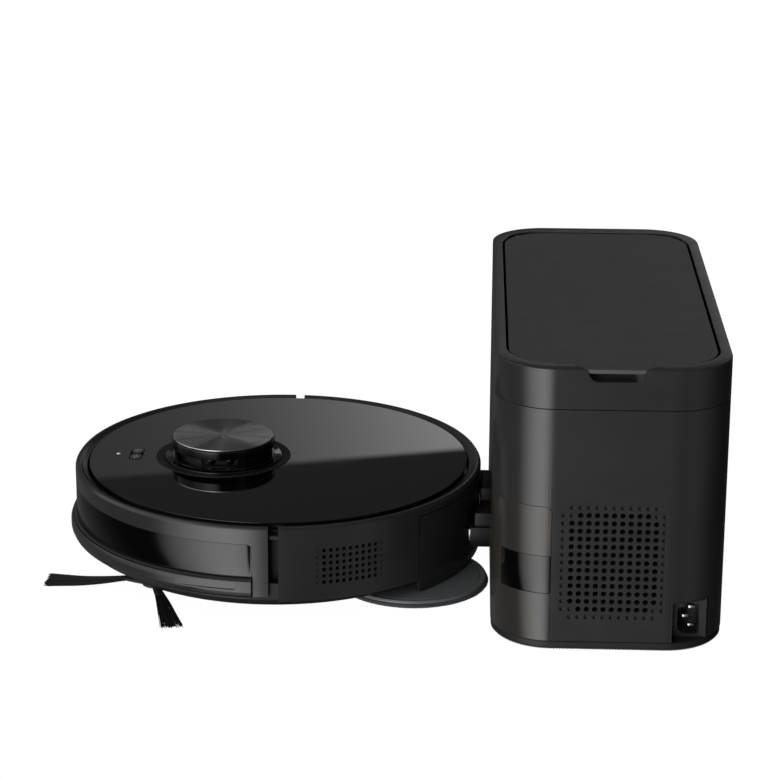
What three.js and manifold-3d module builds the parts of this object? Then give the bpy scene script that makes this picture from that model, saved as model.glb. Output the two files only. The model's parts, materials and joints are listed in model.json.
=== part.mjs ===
// Robot vacuum cleaner with twin spinning mops, standing at its self-emptying dock.
// Millimetres, +Z up. The drawing frame has its origin on the floor under the robot's centre:
// +X points to the robot's rear and on into the dock, -Y is the robot's left side.
// The whole group is then moved so that its origin is at the middle of the footprint.
import * as THREE from "three";
import { mergeVertices } from "three/addons/utils/BufferGeometryUtils.js";
import Module from "manifold-3d";

const wasm = await Module();
wasm.setup();

// ---------------------------------------------------------------- driving dimensions
const SEG = 60; // facets round the big rings
const ROBOT_R = 174.5; // outer radius of the robot's body
const WALL_R = 171.4; // inner radius of the outer shells
const RIM_TOP = 82; // height of the rim and the glass top
const GLASS_R = 162.5;
const GLASS_T = 1.8;
const TURRET_X = -47.5; // centre of the range-finder turret
const TURRET_RING_R = 57.6;
const TURRET_BASE_R = 50.5;
const CAP_R = 44.5;
const CAP_DISC_R = 43.2;
const CAP_BOTTOM = 92.4;
const CAP_TOP = 101;
const PAN_Z = 8; // underside of the chassis
const PAN_R = 170.6;
const BUMPER_END = 88.7; // angle from +X at which the bumper starts
const WINDOW_END = 93.1; // angle at which the infra-red window starts
const WINDOW_TOP = 67;
const SEAM_Z = 38.6; // seam between window and lower lip
const LIP_R = 179.5;
const SHELL_A0 = 44.6; // side shell, from this angle ...
const SHELL_A1 = 86.0; // ... to this one
const MODULE_A = 44.2;
const MODULE_TOP = 73.4;
const WHEEL_R = 35;
const WHEEL_Y0 = 104;
const WHEEL_Y1 = 122;
const ARM_PIVOT = [-48, 48]; // x, z of the drive arm's pivot
const CASTER_X = -128;
const CASTER_R = 12.5;
const CASTER_TRAIL = 7;
const BRUSH_X = 24;
const BRUSH_Z = 20.5;
const BRUSH_R = 20;
const SIDE_BRUSH = [-95, -107];
const MOP_X = 118.2;
const MOP_Y = 77.6;
const PAD_R = 64.2;
const PLATE_R = 62.4;
const DOCK_X0 = 182.95; // dock face toward the robot
const DOCK_W = 184.4;
const DOCK_D = 436;
const DOCK_RC = 47.8; // plan corner radius
const DOCK_H = 232.6;
const DOCK_SEAM = 200; // bottom of the top frame
const DOCK_WALL = 3;
const PANEL_TOP = 120;
const PANEL_U = -46; // edge of the front panel on the dock's sides, from the dock's centre
const LID = { u: 81.4, y0: -202, y1: 200, r: 40, z0: 228.8, z1: 232 };
const HINGE = { y: 195, z: 229.3 };
const DXC = DOCK_X0 + DOCK_W / 2;

// ---------------------------------------------------------------- solids
const rad = THREE.MathUtils.degToRad;

function solid(geometry) {
  const g = geometry.index ? geometry.toNonIndexed() : geometry.clone();
  g.deleteAttribute("normal");
  g.deleteAttribute("uv");
  const m = mergeVertices(g, 1e-3);
  const idx = m.index.array;
  const tri = [];
  for (let i = 0; i < idx.length; i += 3) {
    const [a, b, c] = [idx[i], idx[i + 1], idx[i + 2]];
    if (a !== b && b !== c && a !== c) tri.push(a, b, c);
  }
  const make = (t) =>
    new wasm.Manifold(
      new wasm.Mesh({
        numProp: 3,
        vertProperties: new Float32Array(m.attributes.position.array),
        triVerts: new Uint32Array(t),
      }),
    );
  let s = make(tri);
  if (s.volume() < 0) {
    for (let i = 0; i < tri.length; i += 3)
      [tri[i + 1], tri[i + 2]] = [tri[i + 2], tri[i + 1]];
    s = make(tri);
  }
  return s;
}

const add = (...s) => s.reduce((a, b) => a.add(b));
const cut = (a, ...s) => s.reduce((x, b) => x.subtract(b), a);

// Ring or disc turned about the vertical line through (x, y), from a profile of [radius, height].
function lathe(profile, x = 0, y = 0, segments = SEG) {
  const points = profile.map(([r, z]) => new THREE.Vector2(r, z));
  const onAxis = profile[0][0] === 0 && profile[profile.length - 1][0] === 0;
  if (!onAxis) points.push(points[0].clone());
  const g = new THREE.LatheGeometry(points, segments);
  g.rotateX(Math.PI / 2);
  g.translate(x, y, 0);
  return solid(g);
}

function prism(points, z0, z1) {
  const shape = new THREE.Shape(points.map(([x, y]) => new THREE.Vector2(x, y)));
  const g = new THREE.ExtrudeGeometry(shape, {
    depth: z1 - z0,
    bevelEnabled: false,
  });
  g.translate(0, 0, z0);
  return solid(g);
}

// Wedge about the Z axis between two angles in degrees.
function wedge(a0, a1, z0 = -10, z1 = 300, R = 400, x = 0, y = 0) {
  const pts = [[x, y]];
  const n = Math.max(1, Math.ceil((a1 - a0) / 40));
  for (let i = 0; i <= n; i++) {
    const a = rad(a0 + ((a1 - a0) * i) / n);
    pts.push([x + R * Math.cos(a), y + R * Math.sin(a)]);
  }
  return prism(pts, z0, z1);
}

function box(x0, x1, y0, y1, z0, z1) {
  const g = new THREE.BoxGeometry(x1 - x0, y1 - y0, z1 - z0);
  g.translate((x0 + x1) / 2, (y0 + y1) / 2, (z0 + z1) / 2);
  return solid(g);
}

function cyl(r, x, y, z0, z1, segments = 32) {
  return lathe(
    [
      [0, z0],
      [r, z0],
      [r, z1],
      [0, z1],
    ],
    x,
    y,
    segments,
  );
}

// Turned piece about a line parallel to Y; the profile is [radius, y].
function turnY(profile, x, z, segments = 32) {
  const points = profile.map(([r, y]) => new THREE.Vector2(r, y));
  const onAxis = profile[0][0] === 0 && profile[profile.length - 1][0] === 0;
  if (!onAxis) points.push(points[0].clone());
  const g = new THREE.LatheGeometry(points, segments);
  g.translate(x, 0, z);
  return solid(g);
}
const rodY = (r, x, z, y0, y1, seg = 32) =>
  turnY(
    [
      [0, y0],
      [r, y0],
      [r, y1],
      [0, y1],
    ],
    x,
    z,
    seg,
  );

function rodX(r, y, z, x0, x1, segments = 20) {
  const g = new THREE.CylinderGeometry(r, r, x1 - x0, segments);
  g.rotateZ(Math.PI / 2);
  g.translate((x0 + x1) / 2, y, z);
  return solid(g);
}

// Outline of a rectangle with round corners.
function roundRect(x0, x1, y0, y1, r, n = 6) {
  const pts = [];
  [
    [x1 - r, y0 + r, -90],
    [x1 - r, y1 - r, 0],
    [x0 + r, y1 - r, 90],
    [x0 + r, y0 + r, 180],
  ].forEach(([cx, cy, a0]) => {
    for (let i = 0; i <= n; i++) {
      const a = rad(a0 + (90 * i) / n);
      pts.push([cx + r * Math.cos(a), cy + r * Math.sin(a)]);
    }
  });
  return pts;
}
const dockOutline = (inset) =>
  roundRect(
    DOCK_X0 + inset,
    DOCK_X0 + DOCK_W - inset,
    -DOCK_D / 2 + inset,
    DOCK_D / 2 - inset,
    DOCK_RC - inset,
  );
const dockSlab = (inset, z0, z1) => prism(dockOutline(inset), z0, z1);

// ---------------------------------------------------------------- materials
const group = new THREE.Group();
const model = new THREE.Group();
group.add(model);

const FINISH = {
  shell: [0x2c2d2f, 0.42, 0.0],
  glass: [0x070808, 0.06, 0.0],
  gloss: [0x0c0c0d, 0.12, 0.0],
  cap: [0x6f7174, 0.3, 1.0],
  steel: [0xa9abad, 0.3, 1.0],
  inner: [0x1b1c1d, 0.6, 0.0],
  rubber: [0x151515, 0.85, 0.0],
  board: [0x16402c, 0.6, 0.0],
  battery: [0x2b3f5c, 0.6, 0.0],
  bristle: [0x111111, 0.8, 0.0],
  pad: [0x3c3d3f, 0.95, 0.0],
  plate: [0x5b5c5e, 0.5, 0.0],
  clear: [0x55585c, 0.2, 0.0],
  dock: [0x2e2f31, 0.45, 0.0],
  lid: [0x3b3c3e, 0.4, 0.0],
  panel: [0x35322f, 0.35, 0.0],
  paper: [0xc9c4b8, 0.95, 0.0],
  light: [0xdfe4e8, 0.3, 0.0],
};

function node(name, s, finish) {
  const m = s.getMesh();
  const v = new Float32Array(m.numVert * 3);
  for (let i = 0; i < m.numVert; i++)
    v.set(m.vertProperties.subarray(i * m.numProp, i * m.numProp + 3), i * 3);
  const g = new THREE.BufferGeometry();
  g.setAttribute("position", new THREE.BufferAttribute(v, 3));
  g.setIndex(new THREE.BufferAttribute(new Uint32Array(m.triVerts), 1));
  g.computeVertexNormals();
  const [color, roughness, metalness] = FINISH[finish];
  const mesh = new THREE.Mesh(
    g,
    new THREE.MeshStandardMaterial({
      color,
      roughness,
      metalness,
      flatShading: true,
    }),
  );
  mesh.name = name;
  model.add(mesh);
  return mesh;
}

// ---------------------------------------------------------------- chassis
const pan = lathe([
  [0, PAN_Z],
  [156, PAN_Z],
  [161, 12.5],
  [PAN_R, 18.2],
  [PAN_R, 20.2],
  [161.5, 20.2],
  [161.5, 75.5],
  [158.5, 75.5],
  [158.5, 15.5],
  [154, 11],
  [0, 11],
]);
const brushHousing = cut(
  add(box(-3, 51, -83.4, 83.4, 10.5, 44), box(-10, 58, -83, 83, 10.8, 14)),
  box(-0.5, 48.5, -81, 81, 9, 41.6),
  box(10, 38, -35, 35, 40, 45), // suction mouth to the fan
);
const casterBridge = cut(
  box(-160, -117, -14, 14, 31, 43),
  cyl(6.6, CASTER_X, 0, 20, 50, 24),
);
const slotBlocks = [-1, 1].map((s) =>
  add(
    box(1, 14, ...(s < 0 ? [-PAN_R, -160] : [160, PAN_R]), 19.5, 32.7),
    box(1, 14, ...(s < 0 ? [-PAN_R, -160] : [160, PAN_R]), 70.6, 73.4),
  ),
);
const chassis = cut(
  add(pan, brushHousing, casterBridge, ...slotBlocks),
  // open bay behind for the rear module
  wedge(-45.4, 45.4, 20.3, 120).intersect(box(60, 200, -150, 150, 20.3, 120)),
  box(-3.9, 51.9, -85.9, 85.9, 7, 11.2), // brush guard opening
  box(-0.5, 48.5, -81, 81, 5, 30),
  box(-50, 40, 84.5, 126, 7, 11.5), // wheel wells
  box(-50, 40, -126, -84.5, 7, 11.5),
  cyl(24, CASTER_X, 0, 5, 12, 32),
  cyl(15, ...SIDE_BRUSH, 5, 12.5, 32),
  cyl(16, MOP_X, MOP_Y, 5, 12, 32),
  cyl(16, MOP_X, -MOP_Y, 5, 12, 32),
);
node("chassis_base", chassis, "inner");

// ---------------------------------------------------------------- outer shells
const rimProfile = [
  [ROBOT_R, 79.5],
  [172.6, RIM_TOP],
  [170, 81.6],
  [167.9, 79.8],
  [164, 79],
  [164, 76.6],
];
const sideWall = lathe([
  [WALL_R, 18],
  [ROBOT_R, 18],
  ...rimProfile,
  [WALL_R, 76.2],
]);
const rearRim = lathe([
  [168, 74.2],
  [ROBOT_R, 74.2],
  ...rimProfile,
]);
const sideShell = add(
  sideWall.intersect(wedge(SHELL_A0, SHELL_A1)),
  sideWall.intersect(wedge(-SHELL_A1, -SHELL_A0)),
  rearRim.intersect(wedge(-46, 46)),
);
node("side_shell", sideShell, "shell");

const deckHoles = [
  cyl(41, TURRET_X, 0, 70, 85, 48),
  prism(roundRect(-128.6, -117, -16, 16, 5.7, 5), 70, 84),
  cyl(2.2, -138.8, 0, 70, 84, 16),
];
node(
  "top_deck",
  cut(
    lathe(
      [
        [0, 76.2],
        [158, 76.2],
        [158, 79.8],
        [0, 79.8],
      ],
      0,
      0,
      SEG,
    ),
    ...deckHoles,
  ),
  "inner",
);
node(
  "top_glass",
  cut(
    lathe([
      [0, RIM_TOP - GLASS_T],
      [GLASS_R, RIM_TOP - GLASS_T],
      [GLASS_R, RIM_TOP],
      [0, RIM_TOP],
    ]),
    cyl(58, TURRET_X, 0, 70, 90, 36),
    prism(roundRect(-128.6, -117, -16, 16, 5.7, 5), 70, 84),
    cyl(2.2, -138.8, 0, 70, 84, 16),
  ),
  "glass",
);

// ---------------------------------------------------------------- turret
node(
  "turret_ring",
  lathe(
    [
      [TURRET_BASE_R + 0.4, 80.2],
      [TURRET_RING_R - 0.1, 80.2],
      [TURRET_RING_R - 0.1, 82.5],
      [TURRET_BASE_R + 0.4, 82.2],
    ],
    TURRET_X,
    0,
    36,
  ),
  "inner",
);
const pillars = [-63.6, 26.4, 116.4, 206.4].map((a) =>
  lathe(
    [
      [40.6, 83.5],
      [43.6, 83.5],
      [43.6, 93],
      [40.6, 93],
    ],
    TURRET_X,
    0,
    36,
  ).intersect(wedge(a - 4.5, a + 4.5, 0, 300, 100, TURRET_X, 0)),
);
node(
  "turret_guard",
  add(
    lathe(
      [
        [40.4, 80.2],
        [TURRET_BASE_R, 80.2],
        [TURRET_BASE_R, 83.4],
        [40.4, 84],
      ],
      TURRET_X,
      0,
      36,
    ),
    lathe(
      [
        [0, CAP_BOTTOM],
        [CAP_R, CAP_BOTTOM],
        [CAP_R, 98.8],
        [CAP_R - 0.8, 99.5],
        [0, 99.5],
      ],
      TURRET_X,
      0,
      36,
    ),
    ...pillars,
  ),
  "gloss",
);
node(
  "turret_cap_disc",
  lathe(
    [
      [0, 99.8],
      [CAP_DISC_R, 99.8],
      [CAP_DISC_R, CAP_TOP],
      [0, CAP_TOP],
    ],
    TURRET_X,
    0,
    36,
  ),
  "cap",
);
node(
  "lidar_base",
  cut(
    cyl(39.4, TURRET_X, 0, 58, 79, 36),
    cyl(12.6, TURRET_X, 0, 64, 80, 24),
    cut(cyl(38, TURRET_X, 0, 76, 80, 36)),
  ),
  "inner",
);
node(
  "lidar_rotor",
  cut(
    add(
      cyl(36.5, TURRET_X, 0, 77.2, 91.6, 36),
      cyl(12, TURRET_X, 0, 65, 78, 24),
    ),
    // the sight window for the emitter and the receiver
    box(TURRET_X - 16, TURRET_X + 16, -40, -30, 84, 90.4),
  ),
  "inner",
);

// ---------------------------------------------------------------- controls
node(
  "power_button",
  add(
    prism(roundRect(-127.9, -117.7, 0.5, 15.3, 5, 5), 79.6, 82.3),
    cyl(2, -122.8, 8, 66, 80, 12),
  ),
  "gloss",
);
node(
  "home_button",
  add(
    prism(roundRect(-127.9, -117.7, -15.3, -0.5, 5, 5), 79.6, 82.3),
    cyl(2, -122.8, -8, 66, 80, 12),
  ),
  "gloss",
);
node("status_led", cyl(1.8, -138.8, 0, 77, 82.1, 16), "light");

// ---------------------------------------------------------------- bumper
const bumperSector = wedge(BUMPER_END, 360 - BUMPER_END);
const bumperRing = lathe([
  [WALL_R - 3.2, SEAM_Z + 1.6],
  [WALL_R + 0.4, SEAM_Z + 1.6],
  [WALL_R + 0.4, WINDOW_TOP + 0.4],
  [ROBOT_R, WINDOW_TOP + 0.4],
  ...rimProfile,
  [WALL_R - 3.2, 76.4],
]);
const endRing = lathe([
  [WALL_R, 21.6],
  [ROBOT_R, 21.6],
  ...rimProfile,
  [WALL_R, 76.2],
]);
node(
  "bumper_shell",
  add(
    bumperRing.intersect(wedge(WINDOW_END - 0.5, 360 - WINDOW_END + 0.5)),
    endRing.intersect(wedge(BUMPER_END, WINDOW_END - 0.2)),
    endRing.intersect(wedge(360 - WINDOW_END + 0.2, 360 - BUMPER_END)),
  ),
  "shell",
);
node(
  "bumper_window",
  lathe([
    [WALL_R + 0.7, SEAM_Z + 0.2],
    [ROBOT_R, SEAM_Z + 0.2],
    [ROBOT_R, WINDOW_TOP],
    [WALL_R + 0.7, WINDOW_TOP],
  ]).intersect(wedge(WINDOW_END, 360 - WINDOW_END)),
  "gloss",
);
node(
  "bumper_lip",
  lathe([
    [168.6, 24.4],
    [173.5, 22],
    [177.6, 23.6],
    [LIP_R, 28],
    [LIP_R, 33],
    [178.2, 36.6],
    [175.4, SEAM_Z - 0.2],
    [168.6, SEAM_Z - 0.2],
  ]).intersect(wedge(WINDOW_END, 360 - WINDOW_END)),
  "gloss",
);

// ---------------------------------------------------------------- inside the robot
node(
  "main_board",
  add(
    box(-142, -92, -62, 62, 60, 61.8),
    box(-112, -98, -30, -10, 61.5, 64),
    box(-138, -130, 20, 40, 61.5, 65),
    box(-112, -96, 25, 50, 61.5, 66),
  ),
  "board",
);
node("battery_pack", box(-98, -40, -42, 42, 13, 52), "battery");
node(
  "suction_fan",
  cut(
    add(
      cyl(31, 30, 0, 47, 74, 32),
      box(30, 72, -31, -8, 50, 70), // outlet scroll
    ),
    cyl(14, 30, 0, 46, 60, 24),
  ),
  "inner",
);
node("side_brush_motor", cyl(12, ...SIDE_BRUSH, 17.2, 42, 24), "inner");

// ---------------------------------------------------------------- drive wheels
for (const [side, s] of [
  ["left", -1],
  ["right", 1],
]) {
  const y = (a, b) => (s > 0 ? [a, b] : [-b, -a]);
  const [ax, az] = ARM_PIVOT;
  const arm = add(
    rodY(17, 0, WHEEL_R, ...y(86.6, 100.8), 32),
    rodY(8, ax, az, ...y(86.6, 100.8), 24),
    solid(
      (() => {
        const shape = new THREE.Shape([
          new THREE.Vector2(ax - 2, az + 7.6),
          new THREE.Vector2(ax - 2, az - 7.6),
          new THREE.Vector2(-4, WHEEL_R - 15),
          new THREE.Vector2(4, WHEEL_R + 15),
        ]);
        const g = new THREE.ExtrudeGeometry(shape, {
          depth: 14.2,
          bevelEnabled: false,
        });
        g.rotateX(Math.PI / 2); // drawn in x, z; depth now runs to -Y
        g.translate(0, s > 0 ? 100.8 : -86.6, 0);
        return g;
      })(),
    ),
  );
  node("wheel_arm_" + side, arm, "inner");
  const hub = turnY(
    s > 0
      ? [
          [0, 101.2],
          [6, 101.2],
          [6, 105],
          [24, 105],
          [24, 121.6],
          [0, 121.6],
        ]
      : [
          [0, -121.6],
          [24, -121.6],
          [24, -105],
          [6, -105],
          [6, -101.2],
          [0, -101.2],
        ],
    0,
    WHEEL_R,
    24,
  );
  node("wheel_hub_" + side, hub, "plate");
  const [t0, t1] = y(WHEEL_Y0, WHEEL_Y1);
  node(
    "wheel_tyre_" + side,
    turnY(
      [
        [24.4, t0],
        [33.4, t0],
        [WHEEL_R, t0 + 2.4],
        [WHEEL_R, t1 - 2.4],
        [33.4, t1],
        [24.4, t1],
      ],
      0,
      WHEEL_R,
      32,
    ),
    "rubber",
  );
}

// ---------------------------------------------------------------- caster
const cwx = CASTER_X + CASTER_TRAIL;
node(
  "caster_fork",
  add(
    cyl(6, CASTER_X, 0, 27, 40, 24),
    cyl(15, CASTER_X + 2, 0, 26.2, 30, 24),
    box(cwx - 4, cwx + 4, 7.8, 10.4, 9, 27),
    box(cwx - 4, cwx + 4, -10.4, -7.8, 9, 27),
    rodY(1.8, cwx, CASTER_R, -8.5, 8.5, 16),
  ),
  "inner",
);
node(
  "caster_wheel",
  turnY(
    [
      [2.3, -7.2],
      [CASTER_R, -7.2],
      [CASTER_R, 7.2],
      [2.3, 7.2],
    ],
    cwx,
    CASTER_R,
    24,
  ),
  "plate",
);

// ---------------------------------------------------------------- main brush
node(
  "brush_core",
  turnY(
    [
      [0, -80],
      [3.5, -80],
      [3.5, -77.6],
      [10.4, -77.6],
      [10.4, 77.6],
      [3.5, 77.6],
      [3.5, 80],
      [0, 80],
    ],
    BRUSH_X,
    BRUSH_Z,
    24,
  ),
  "inner",
);
{
  const g = [];
  for (let k = 0; k < 6; k++) {
    const a = rad(60 * k + 30);
    const b = new THREE.BoxGeometry(8.6, 152, 2);
    b.translate(11 + 4.3, 0, 0);
    b.rotateY(a);
    b.translate(BRUSH_X, 0, BRUSH_Z);
    g.push(solid(b));
  }
  node(
    "brush_fins",
    add(
      turnY(
        [
          [10.8, -76],
          [12.6, -76],
          [12.6, 76],
          [10.8, 76],
        ],
        BRUSH_X,
        BRUSH_Z,
        24,
      ),
      ...g,
    ),
    "rubber",
  );
}
node(
  "brush_guard",
  cut(
    box(-3.5, 51.5, -85.5, 85.5, 7.4, 10.1),
    box(1.5, 46.5, -78.5, 78.5, 5, 12),
  ),
  "plate",
);

// ---------------------------------------------------------------- side brush
const SWEEP = [170, 290, 50];
node(
  "side_brush_hub",
  add(
    cyl(12, ...SIDE_BRUSH, 4, 8.4, 20),
    cyl(3, ...SIDE_BRUSH, 8, 16.8, 12),
    ...SWEEP.map((a) => {
      const g = new THREE.CylinderGeometry(2.2, 1.7, 22, 10); // bristle sleeve
      g.scale(2, 1, 1);
      g.rotateZ(Math.PI / 2);
      g.translate(18, 0, 0);
      g.rotateZ(rad(a));
      g.translate(SIDE_BRUSH[0], SIDE_BRUSH[1], 5.6);
      return solid(g);
    }),
  ),
  "bristle",
);
{
  // Three tufts, hung from a small ring under the hub.
  const tuft = (a) => {
    const path = new THREE.CatmullRomCurve3([
      new THREE.Vector3(6, 0, 1.8),
      new THREE.Vector3(40, 0, 1.8),
      new THREE.Vector3(94.6, 0, 1.8),
    ]);
    const shape = new THREE.Shape();
    shape.absellipse(0, 0, 1.2, 5.2, 0, Math.PI * 2);
    const g = new THREE.ExtrudeGeometry(shape, {
      steps: 3,
      curveSegments: 5,
      extrudePath: path,
      bevelEnabled: false,
    });
    g.rotateZ(rad(a));
    g.translate(...SIDE_BRUSH, 0);
    return solid(g);
  };
  node(
    "side_brush_bristles",
    add(cyl(9, ...SIDE_BRUSH, 0.9, 3.3, 16), ...SWEEP.map(tuft)),
    "bristle",
  );
}

// ---------------------------------------------------------------- rear module
const wedgeBlock = (r, a, x0, z0, z1) =>
  lathe(
    [
      [0, z0],
      [r, z0],
      [r, z1],
      [0, z1],
    ],
    0,
    0,
    SEG,
  )
    .intersect(wedge(-a, a))
    .intersect(box(x0, 200, -190, 190, z0 - 1, z1 + 1));
const moduleShell = cut(
  add(
    wedgeBlock(174.3, MODULE_A, 84, 36, MODULE_TOP),
    lathe([
      [171, 8.2],
      [173.4, 8.2],
      [174.3, 9.2],
      [174.3, 38],
      [171, 38],
    ]).intersect(wedge(-MODULE_A, MODULE_A)),
  ),
  wedgeBlock(171, 42.9, 86.6, 38.6, 70.8),
  box(150, 190, -17, 17, 46.6, 60.6), // dust port to the dock
  box(80, 90, -26, 26, 44, 64), // air mouth toward the fan
  box(150, 185, -58.3, -46.7, 28, 41.6), // charging pockets
  box(150, 185, 46.7, 58.3, 28, 41.6),
);
node("rear_module_shell", moduleShell, "shell");
node(
  "dust_bin",
  cut(
    box(90, 158, -62, 62, 39.4, 69.6),
    box(92, 156, -60, 60, 41.4, 67.6),
    box(88, 94, -24, 24, 45, 63),
    box(154, 160, -15, 15, 52, 64),
  ),
  "clear",
);
node("bin_filter", box(104, 112, -52, 52, 43, 66), "paper");
for (const [side, s] of [
  ["left", -1],
  ["right", 1],
])
  node(
    "robot_contact_" + side,
    box(160.5, 164.2, s * 52.5 - 5.2, s * 52.5 + 5.2, 28.8, 40.8),
    "steel",
  );

// ---------------------------------------------------------------- mops
node(
  "mop_gearbox",
  add(
    box(102, 132, -84, 84, 14.8, 33),
    cyl(4.4, MOP_X, MOP_Y, 7.7, 15, 20),
    cyl(4.4, MOP_X, -MOP_Y, 7.7, 15, 20),
  ),
  "inner",
);
for (const [side, s] of [
  ["left", -1],
  ["right", 1],
]) {
  node(
    "mop_plate_" + side,
    lathe(
      [
        [0, 4.5],
        [PLATE_R, 4.5],
        [PLATE_R, 6.8],
        [12, 6.8],
        [12, 13.4],
        [5, 13.4],
        [5, 7.3],
        [0, 7.3],
      ],
      MOP_X,
      s * MOP_Y,
      36,
    ),
    "plate",
  );
  node(
    "mop_pad_" + side,
    lathe(
      [
        [0, 0],
        [62.4, 0],
        [PAD_R, 2],
        [62.8, 4.2],
        [0, 4.2],
      ],
      MOP_X,
      s * MOP_Y,
      36,
    ),
    "pad",
  );
}

// ---------------------------------------------------------------- dock
node(
  "dock_foot_ring",
  cut(dockSlab(2.5, 0, 1.8), dockSlab(14, -1, 3)),
  "rubber",
);
node("dock_base_plate", dockSlab(0.4, 2.1, 7.5), "inner");

const inlet = { u0: 47.9, u1: 79.3, z1: 42.4, floor: -204 };
node(
  "dock_shell",
  cut(
    dockSlab(0, 7.8, 199.7),
    dockSlab(DOCK_WALL, 0, 240),
    box(100, DXC + PANEL_U, -300, 300, 0, PANEL_TOP + 0.2),
    box(DXC + inlet.u0, DXC + inlet.u1, -230, -190, 0, inlet.z1),
  ),
  "dock",
);
const corner = [DOCK_X0 + DOCK_RC, -DOCK_D / 2 + DOCK_RC];
const irCut = (s, g) => {
  const w = wedge(
    s < 0 ? -147 - g : 80,
    s < 0 ? -80 : 147 + g,
    48 - g,
    79 + g,
    90,
    corner[0],
    s < 0 ? corner[1] : -corner[1],
  );
  return w;
};
node(
  "dock_front_panel",
  cut(
    dockSlab(0, 7.8, PANEL_TOP - 0.1),
    dockSlab(DOCK_WALL, 0, 240),
    box(DXC + PANEL_U - 0.3, 500, -300, 300, 0, 300),
    irCut(-1, 0.3),
    irCut(1, 0.3),
    box(170, 190, -20, 20, 44, 64.2), // duct to the bag
  ),
  "panel",
);
for (const [side, s] of [
  ["near", -1],
  ["far", 1],
])
  node(
    "dock_ir_window_" + side,
    dockSlab(0, 40, 90)
      .subtract(dockSlab(DOCK_WALL, 0, 240))
      .intersect(irCut(s, 0))
      .subtract(box(DXC + PANEL_U - 0.3, 500, -300, 300, 0, 300)),
    "gloss",
  );

// top frame with the lid opening, the finger notch and the hinge lugs
const y0 = -DOCK_D / 2;
const notch = (() => {
  const shape = new THREE.Shape([
    new THREE.Vector2(DXC - 23.4, 240),
    new THREE.Vector2(DXC - 22.8, 232),
    new THREE.Vector2(DXC - 17, 223.2),
    new THREE.Vector2(DXC - 14.5, 222.4),
    new THREE.Vector2(DXC + 14.5, 222.4),
    new THREE.Vector2(DXC + 17, 223.2),
    new THREE.Vector2(DXC + 22.8, 232),
    new THREE.Vector2(DXC + 23.4, 240),
  ]);
  const g = new THREE.ExtrudeGeometry(shape, { depth: 12, bevelEnabled: false });
  g.rotateX(Math.PI / 2);
  g.translate(0, y0 + 11.5, 0);
  return solid(g);
})();
const tab = (grow, z0, z1) =>
  prism(
    [
      [DXC - 35 - grow, LID.y0 + 0.2],
      [DXC - 23 - grow, y0 + 1.4 - grow],
      [DXC + 23 + grow, y0 + 1.4 - grow],
      [DXC + 35 + grow, LID.y0 + 0.2],
      [DXC + 35 + grow, LID.y0 + 6],
      [DXC - 35 - grow, LID.y0 + 6],
    ],
    z0,
    z1,
  );
node(
  "dock_top_frame",
  cut(
    add(
      cut(
        add(dockSlab(0, DOCK_SEAM + 0.1, DOCK_H - 1.4), dockSlab(1.2, DOCK_H - 1.5, DOCK_H)),
        dockSlab(DOCK_WALL, 100, DOCK_H - 3),
        prism(
          roundRect(DXC - 83.6, DXC + 83.6, -204.2, 201.4, 42),
          200,
          250,
        ),
      ),
      box(DXC - 40, DXC + 40, y0 + 2, y0 + 14, 217, DOCK_H - 2.5),
      add(
        box(DXC - 86, DXC - 79.6, 189, 206, 221, 230.8),
        box(DXC + 79.6, DXC + 86, 189, 206, 221, 230.8),
        box(DXC - 90, DXC + 90, 201.4, 216, 221, 230.6),
      ).intersect(dockSlab(1, 200, 240)),
    ),
    notch,
    tab(2.2, LID.z0 - 1, 250),
    rodX(1.7, HINGE.y, HINGE.z, DXC - 82, DXC + 82, 16),
    prism(
      roundRect(DXC - 79.4, DXC + 79.4, -204.2, 201.3, 26),
      218,
      250,
    ).intersect(box(DXC - 79.4, DXC + 79.4, 100, 201.3, 218, 250)),
  ),
  "dock",
);
node(
  "dock_lid",
  cut(
    add(
      prism(
        roundRect(DXC - LID.u, DXC + LID.u, LID.y0, LID.y1, LID.r),
        LID.z0,
        LID.z1,
      ),
      tab(0, LID.z0, LID.z1),
    ),
    box(DXC - LID.u - 1, DXC - 78.8, 187, 206, 200, 250),
    box(DXC + 78.8, DXC + LID.u + 1, 187, 206, 200, 250),
    rodX(1.7, HINGE.y, HINGE.z, DXC - 90, DXC + 90, 16),
    box(DXC - 90, DXC + 90, HINGE.y - 1.7, HINGE.y + 1.7, 220, HINGE.z),
  ),
  "lid",
);
node(
  "lid_hinge_pin",
  rodX(1.3, HINGE.y, HINGE.z, DXC - 81.6, DXC + 81.6, 12),
  "steel",
);
node(
  "bag_tub",
  cut(
    prism(roundRect(DXC - 77, DXC + 77, -196, 182, 36), 126, 215),
    prism(roundRect(DXC - 74.6, DXC + 74.6, -193.6, 179.6, 33.6), 128.4, 230),
    box(DXC - 90, DXC - 60, -20, 20, 140, 165), // dust inlet
  ),
  "inner",
);
node(
  "dust_bag",
  solid(
    (() => {
      const g = new THREE.SphereGeometry(1, 16, 10);
      const p = g.getAttribute("position");
      for (let i = 0; i < p.count; i++) {
        const v = [p.getX(i), p.getY(i), p.getZ(i)].map(
          (c) => Math.sign(c) * Math.pow(Math.abs(c), 0.62),
        );
        p.setXYZ(i, v[0] * 62, v[2] * 150, v[1] * 34);
      }
      g.translate(DXC, -8, 166);
      return g;
    })(),
  ),
  "paper",
);
node(
  "dock_fan",
  cut(
    add(cyl(46, DXC, 20, 14, 92, 32), box(DXC - 16, DXC + 16, -60, 0, 30, 70)),
    cyl(16, DXC, 20, 80, 95, 24),
  ),
  "inner",
);
node(
  "exhaust_filter",
  box(DXC - 42, DXC + 46, -206, -196, 46.5, 119),
  "paper",
);

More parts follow.
